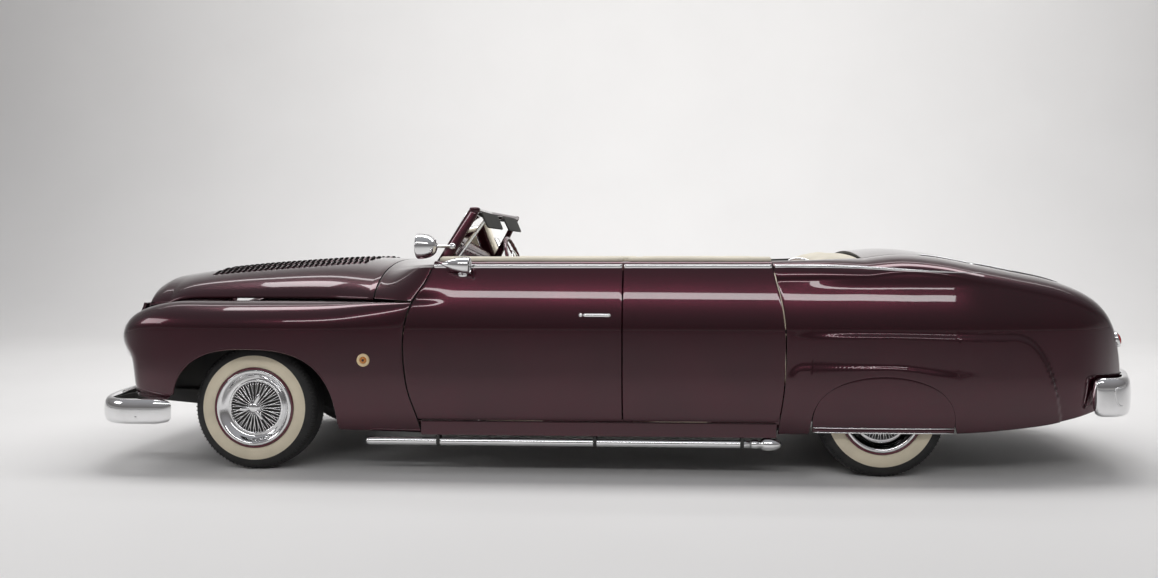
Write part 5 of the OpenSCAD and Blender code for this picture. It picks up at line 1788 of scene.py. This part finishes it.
class BuildSeats(bpy.types.Operator):
    """Front and rear bench seats, and the boot over the folded top."""

    bl_idname = "convertible.seats"
    bl_label = "Seats and top boot"

    def execute(self, context):
        self.bench("front", -0.472, 0.052, (-0.42, 0.06), 1.108, [(0.07, 0.4), (0.052, 0.49), (0.105, 0.82),
                                                                  (0.152, 1.065), (0.178, 1.104),
                                                                  (0.232, 1.104), (0.248, 1.07),
                                                                  (0.222, 0.72), (0.196, 0.4)])
        self.bench("rear", 0.518, 0.97, (0.56, 0.98), 1.158, [(0.99, 0.4), (0.967, 0.49), (0.998, 0.82),
                                                              (1.034, 1.112), (1.062, 1.153), (1.1, 1.153),
                                                              (1.114, 1.118), (1.042, 0.6), (1.034, 0.4)])
        self.boot()
        return {"FINISHED"}

    def bench(self, name, start, end, base_x, top, back):
        """One bench seat: its cushion, its back, their piping and the base."""
        half = 0.64
        seat = rounded([(start + 0.004, 0.405), (start, 0.47), (start + 0.035, 0.512), (start + 0.3, 0.516),
                        (end - 0.06, 0.494), (end, 0.44), (end, 0.405)], 90, 0.022)
        low = (start - 0.012, -half, 0.392)
        high = (end + 0.006, half, 0.545)
        cushion(name + "_seat_cushion", seat, half, (low, high), (0, 0, 1), 0.024, [name + "_seat"])
        rest = rounded(back, 110, 0.018)
        low = (min(x for x, z in back) - 0.018, -half, 0.386)
        high = (max(x for x, z in back) + 0.008, half, top + 0.016)
        cushion(name + "_seat_back", rest, half, (low, high), (-1, 0, 0.14), 0.022)
        trim = Piece()
        for y in (0.022 - half, half - 0.022):
            piping(trim, seat, y, 0.01)
            piping(trim, rest, y, 0.01)
        trim.make(name + "_seat_piping", [leather("piping_burgundy", (0.13, 0.012, 0.028))], "upholstery")
        front, rear = base_x
        outline = rounded([(front, 0.286), (front, 0.4), (rear, 0.384), (rear, 0.286)], 60, 0.012)
        base = Piece()
        base.add(sweep_across(outline, 0.56, 0.012))
        base.make(name + "_seat_base", [carpet()], "upholstery")

    def boot(self):
        """Cloth boot over the folded top."""
        outline = rounded([(1.128, 1.12), (1.106, 1.158), (1.15, 1.206), (1.23, 1.224), (1.33, 1.219),
                           (1.394, 1.214), (1.394, 1.09), (1.15, 1.09)], 120, 0.014)
        piece = Piece()
        shape, faces = sweep_across(outline, 0.638, 0.04, 60)
        shape = np.array(shape)
        up = ramp(1.13, 1.21, shape[:, 2])
        across = shape[:, 1]
        shape[:, 2] += up * (0.0035 * np.sin(across * 23 + 9 * shape[:, 0]) * np.sin(shape[:, 0] * 34)
                             - 0.003)
        crown = 0.03 * (np.abs(across) / 0.638) ** 2.2 * ramp(1.1, 1.2, shape[:, 2])
        shape[:, 2] -= crown
        piece.add((shape, faces))
        obj = piece.make("top_boot_cover", [leather("boot_cloth", (0.7, 0.64, 0.52))], "upholstery",
                         ["top_boot"])
        bead = Piece()
        y = np.linspace(-0.6, 0.6, 60)
        z = 1.166 - 0.01 * (np.abs(y) / 0.638) ** 2.2
        bead.add(tube(np.stack([np.full(60, 1.109), y, z], -1), 0.0055, 8))
        for k in range(13):
            y0 = -0.54 + 0.09 * k
            bead.add(lathe([(0.01, -0.004), (0.01, 0.001), (0.007, 0.005), (0.0005, 0.006)],
                           (1.121, y0, 1.184 - 0.022 * (abs(y0) / 0.638) ** 2.2), (-0.7, 0, 0.7), 20), 1)
        bead.make("boot_piping", [leather("piping_burgundy", (0.13, 0.012, 0.028)), bright_metal()],
                  "upholstery")


# ---- Operators: frame finishes and stage ----


class FinishFrame(bpy.types.Operator):
    """Finishes of the parts under the body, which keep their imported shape."""

    bl_idname = "convertible.frame_finishes"
    bl_label = "Chassis finishes"

    def execute(self, context):
        finishes = dict.fromkeys(("chassis_frame", "inner_fenders", "firewall", "rear_axle", "knuckle_left",
                                  "knuckle_right"), dark_coat())
        finishes.update(engine_block=engine_iron(), floor_pan=carpet(), door_frames=body_paint())
        for name, material in finishes.items():
            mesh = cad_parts[name].data
            mesh.materials.clear()
            mesh.materials.append(material)
        return {"FINISHED"}


class BuildStage(bpy.types.Operator):
    """Pale floor, soft lights and the camera."""

    bl_idname = "convertible.stage"
    bl_label = "Stage"

    def execute(self, context):
        stage = settings().stage
        bend = angles(0, 90, 16)
        y = np.concatenate([[-40, -8, 0, 4], 7.0 + 5.0 * np.sin(bend), [12.0, 12.0]])
        z = np.concatenate([[0, 0, 0, 0], 5.0 - 5.0 * np.cos(bend), [12.0, 30.0]])
        x = np.linspace(-40, 40, 9)[:, None] * np.ones_like(y)
        mesh = bpy.data.meshes.new("studio_floor")
        points, faces = grid(np.stack([x, y + 0 * x, z + 0 * x], -1))
        mesh.from_pydata(points.tolist(), [], faces)
        for polygon in mesh.polygons:
            polygon.use_smooth = True
        floor = bpy.data.objects.new("studio_floor", mesh)
        material, tree, shader = finish_nodes("studio_floor")
        if tree:
            at = place(tree)
            cloud = noise(tree, at, 0.6, 3)
            dark = [c * 0.975 for c in stage.floor]
            tint(tree, shader, cloud, dark, stage.floor)
            shader.inputs["Roughness"].default_value = 0.6
            shader.inputs["Specular IOR Level"].default_value = 0.2
        mesh.materials.append(material)
        self.stand(floor)
        self.world()
        self.light("overhead_light", (0.0, 0.4, 6.0), (0, 0.2, 0), 10.0, 1.6, 300)
        self.light("shoulder_light", (-0.5, -7.6, 5.6), (0, -0.4, 0.6), 10.0, 0.55, 150)
        self.light("wall_light", (0.0, 4.0, 8.0), (0, 11, 2.0), 18.0, 4.0, 850)
        self.light("nose_light", (-7.5, -3.0, 3.2), (-1.5, 0, 0.5), 2.5, 1.6, 50)
        self.camera(stage)
        return {"FINISHED"}

    def stand(self, obj):
        """Puts a thing on the stage."""
        bpy.context.scene.collection.objects.link(obj)

    def world(self):
        """Pale room that is brighter overhead."""
        world = bpy.data.worlds.new("studio")
        bpy.context.scene.world = world
        world.use_nodes = True
        tree = world.node_tree
        shader = tree.nodes["Background"]
        at = tree.nodes.new("ShaderNodeTexCoord")
        parts = tree.nodes.new("ShaderNodeSeparateXYZ")
        tree.links.new(at.outputs["Generated"], parts.inputs["Vector"])
        height = tree.nodes.new("ShaderNodeValToRGB")
        stops = height.color_ramp
        stops.elements[0].position = 0.0
        stops.elements[0].color = (0.6, 0.59, 0.58, 1)
        stops.elements[1].position = 1.0
        stops.elements[1].color = (0.62, 0.63, 0.66, 1)
        stops.elements.new(0.08).color = (0.26, 0.25, 0.25, 1)
        stops.elements.new(0.35).color = (0.42, 0.41, 0.42, 1)
        tree.links.new(parts.outputs["Z"], height.inputs["Fac"])
        tree.links.new(height.outputs["Color"], shader.inputs["Color"])
        shader.inputs["Strength"].default_value = 0.58
        seen = tree.nodes.new("ShaderNodeBackground")
        seen.inputs["Color"].default_value = (0.83, 0.825, 0.82, 1)
        seen.inputs["Strength"].default_value = 1.0
        rays = tree.nodes.new("ShaderNodeLightPath")
        both = tree.nodes.new("ShaderNodeMath")
        both.operation = "MAXIMUM"
        tree.links.new(rays.outputs["Is Camera Ray"], both.inputs[0])
        tree.links.new(rays.outputs["Is Transmission Ray"], both.inputs[1])
        choice = tree.nodes.new("ShaderNodeMixShader")
        tree.links.new(both.outputs[0], choice.inputs["Fac"])
        tree.links.new(shader.outputs["Background"], choice.inputs[1])
        tree.links.new(seen.outputs["Background"], choice.inputs[2])
        tree.links.new(choice.outputs["Shader"], tree.nodes["World Output"].inputs["Surface"])

    def light(self, name, location, target, size, size_y, power):
        """Soft area light aimed at target."""
        data = bpy.data.lights.new(name, "AREA")
        data.shape = "RECTANGLE"
        data.size = size
        data.size_y = size_y
        data.energy = power
        lamp = bpy.data.objects.new(name, data)
        lamp.location = location
        aim = Vector(target) - Vector(location)
        lamp.rotation_euler = aim.to_track_quat("-Z", "Y").to_euler()
        self.stand(lamp)

    def camera(self, stage):
        """Camera beside the car, turned a little towards its nose."""
        data = bpy.data.cameras.new("camera")
        data.sensor_width = 36
        data.lens = 29.8
        data.shift_x = -0.05
        data.shift_y = -0.03
        data.clip_end = 200
        camera = bpy.data.objects.new("camera", data)
        camera.location = (0.42, -stage.camera_distance, stage.camera_height)
        camera.rotation_euler = (math.radians(90), 0, math.radians(3))
        self.stand(camera)
        bpy.context.scene.camera = camera
        bpy.context.scene.view_settings.view_transform = "Standard"


# ---- Panel and start ----

STEPS = (BuildFenders, BuildHood, BuildDoors, BuildQuarters, BuildDeck, BuildNose, BuildBumpers, BuildLamps,
         BuildWindshield, BuildTrim, BuildWheels, BuildDashboard, BuildSeats, FinishFrame, BuildStage)


class CarSettings(bpy.types.PropertyGroup):
    """All settings of the car."""

    finish: PointerProperty(type=FinishSettings, name="Finishes", description="Colours of the finishes")
    body: PointerProperty(type=BodySettings, name="Body", description="Sizes of the body's details")
    wheels: PointerProperty(type=WheelSettings, name="Wheels", description="Sizes of the wheels")
    seats: PointerProperty(type=SeatSettings, name="Seats", description="Sizes of the upholstery")
    stage: PointerProperty(type=StageSettings, name="Stage", description="Floor, lights and camera")


class CarPanel(bpy.types.Panel):
    """Sidebar panel with the settings and the steps."""

    bl_idname = "VIEW3D_PT_convertible"
    bl_label = "Convertible"
    bl_space_type = "VIEW_3D"
    bl_region_type = "UI"
    bl_category = "Convertible"

    def draw(self, context):
        for title in ("finish", "body", "wheels", "seats", "stage"):
            group = getattr(context.scene.convertible, title)
            box = self.layout.box()
            for name in group.__annotations__:
                box.prop(group, name)
        for step in STEPS:
            self.layout.operator(step.bl_idname)


CLASSES = (FinishSettings, BodySettings, WheelSettings, SeatSettings, StageSettings,
           CarSettings) + STEPS + (CarPanel,)


def register():
    """Registers the settings, steps and panel."""
    for one in CLASSES:
        bpy.utils.register_class(one)
    bpy.types.Scene.convertible = PointerProperty(type=CarSettings)


def unregister():
    """Removes what register added."""
    del bpy.types.Scene.convertible
    for one in reversed(CLASSES):
        bpy.utils.unregister_class(one)


def corners(box):
    """A box as plain lists."""
    return [[float(v) for v in corner] for corner in box]


def main():
    """Builds the car step by step."""
    register()
    bpy.ops.convertible.fenders()
    bpy.ops.convertible.hood()
    bpy.ops.convertible.doors()
    bpy.ops.convertible.quarters()
    bpy.ops.convertible.deck()
    bpy.ops.convertible.nose()
    bpy.ops.convertible.bumpers()
    bpy.ops.convertible.lamps()
    bpy.ops.convertible.windshield()
    bpy.ops.convertible.trim()
    bpy.ops.convertible.wheels()
    bpy.ops.convertible.dashboard()
    bpy.ops.convertible.seats()
    bpy.ops.convertible.frame_finishes()
    bpy.ops.convertible.stage()


if __name__ == "__main__":
    main()
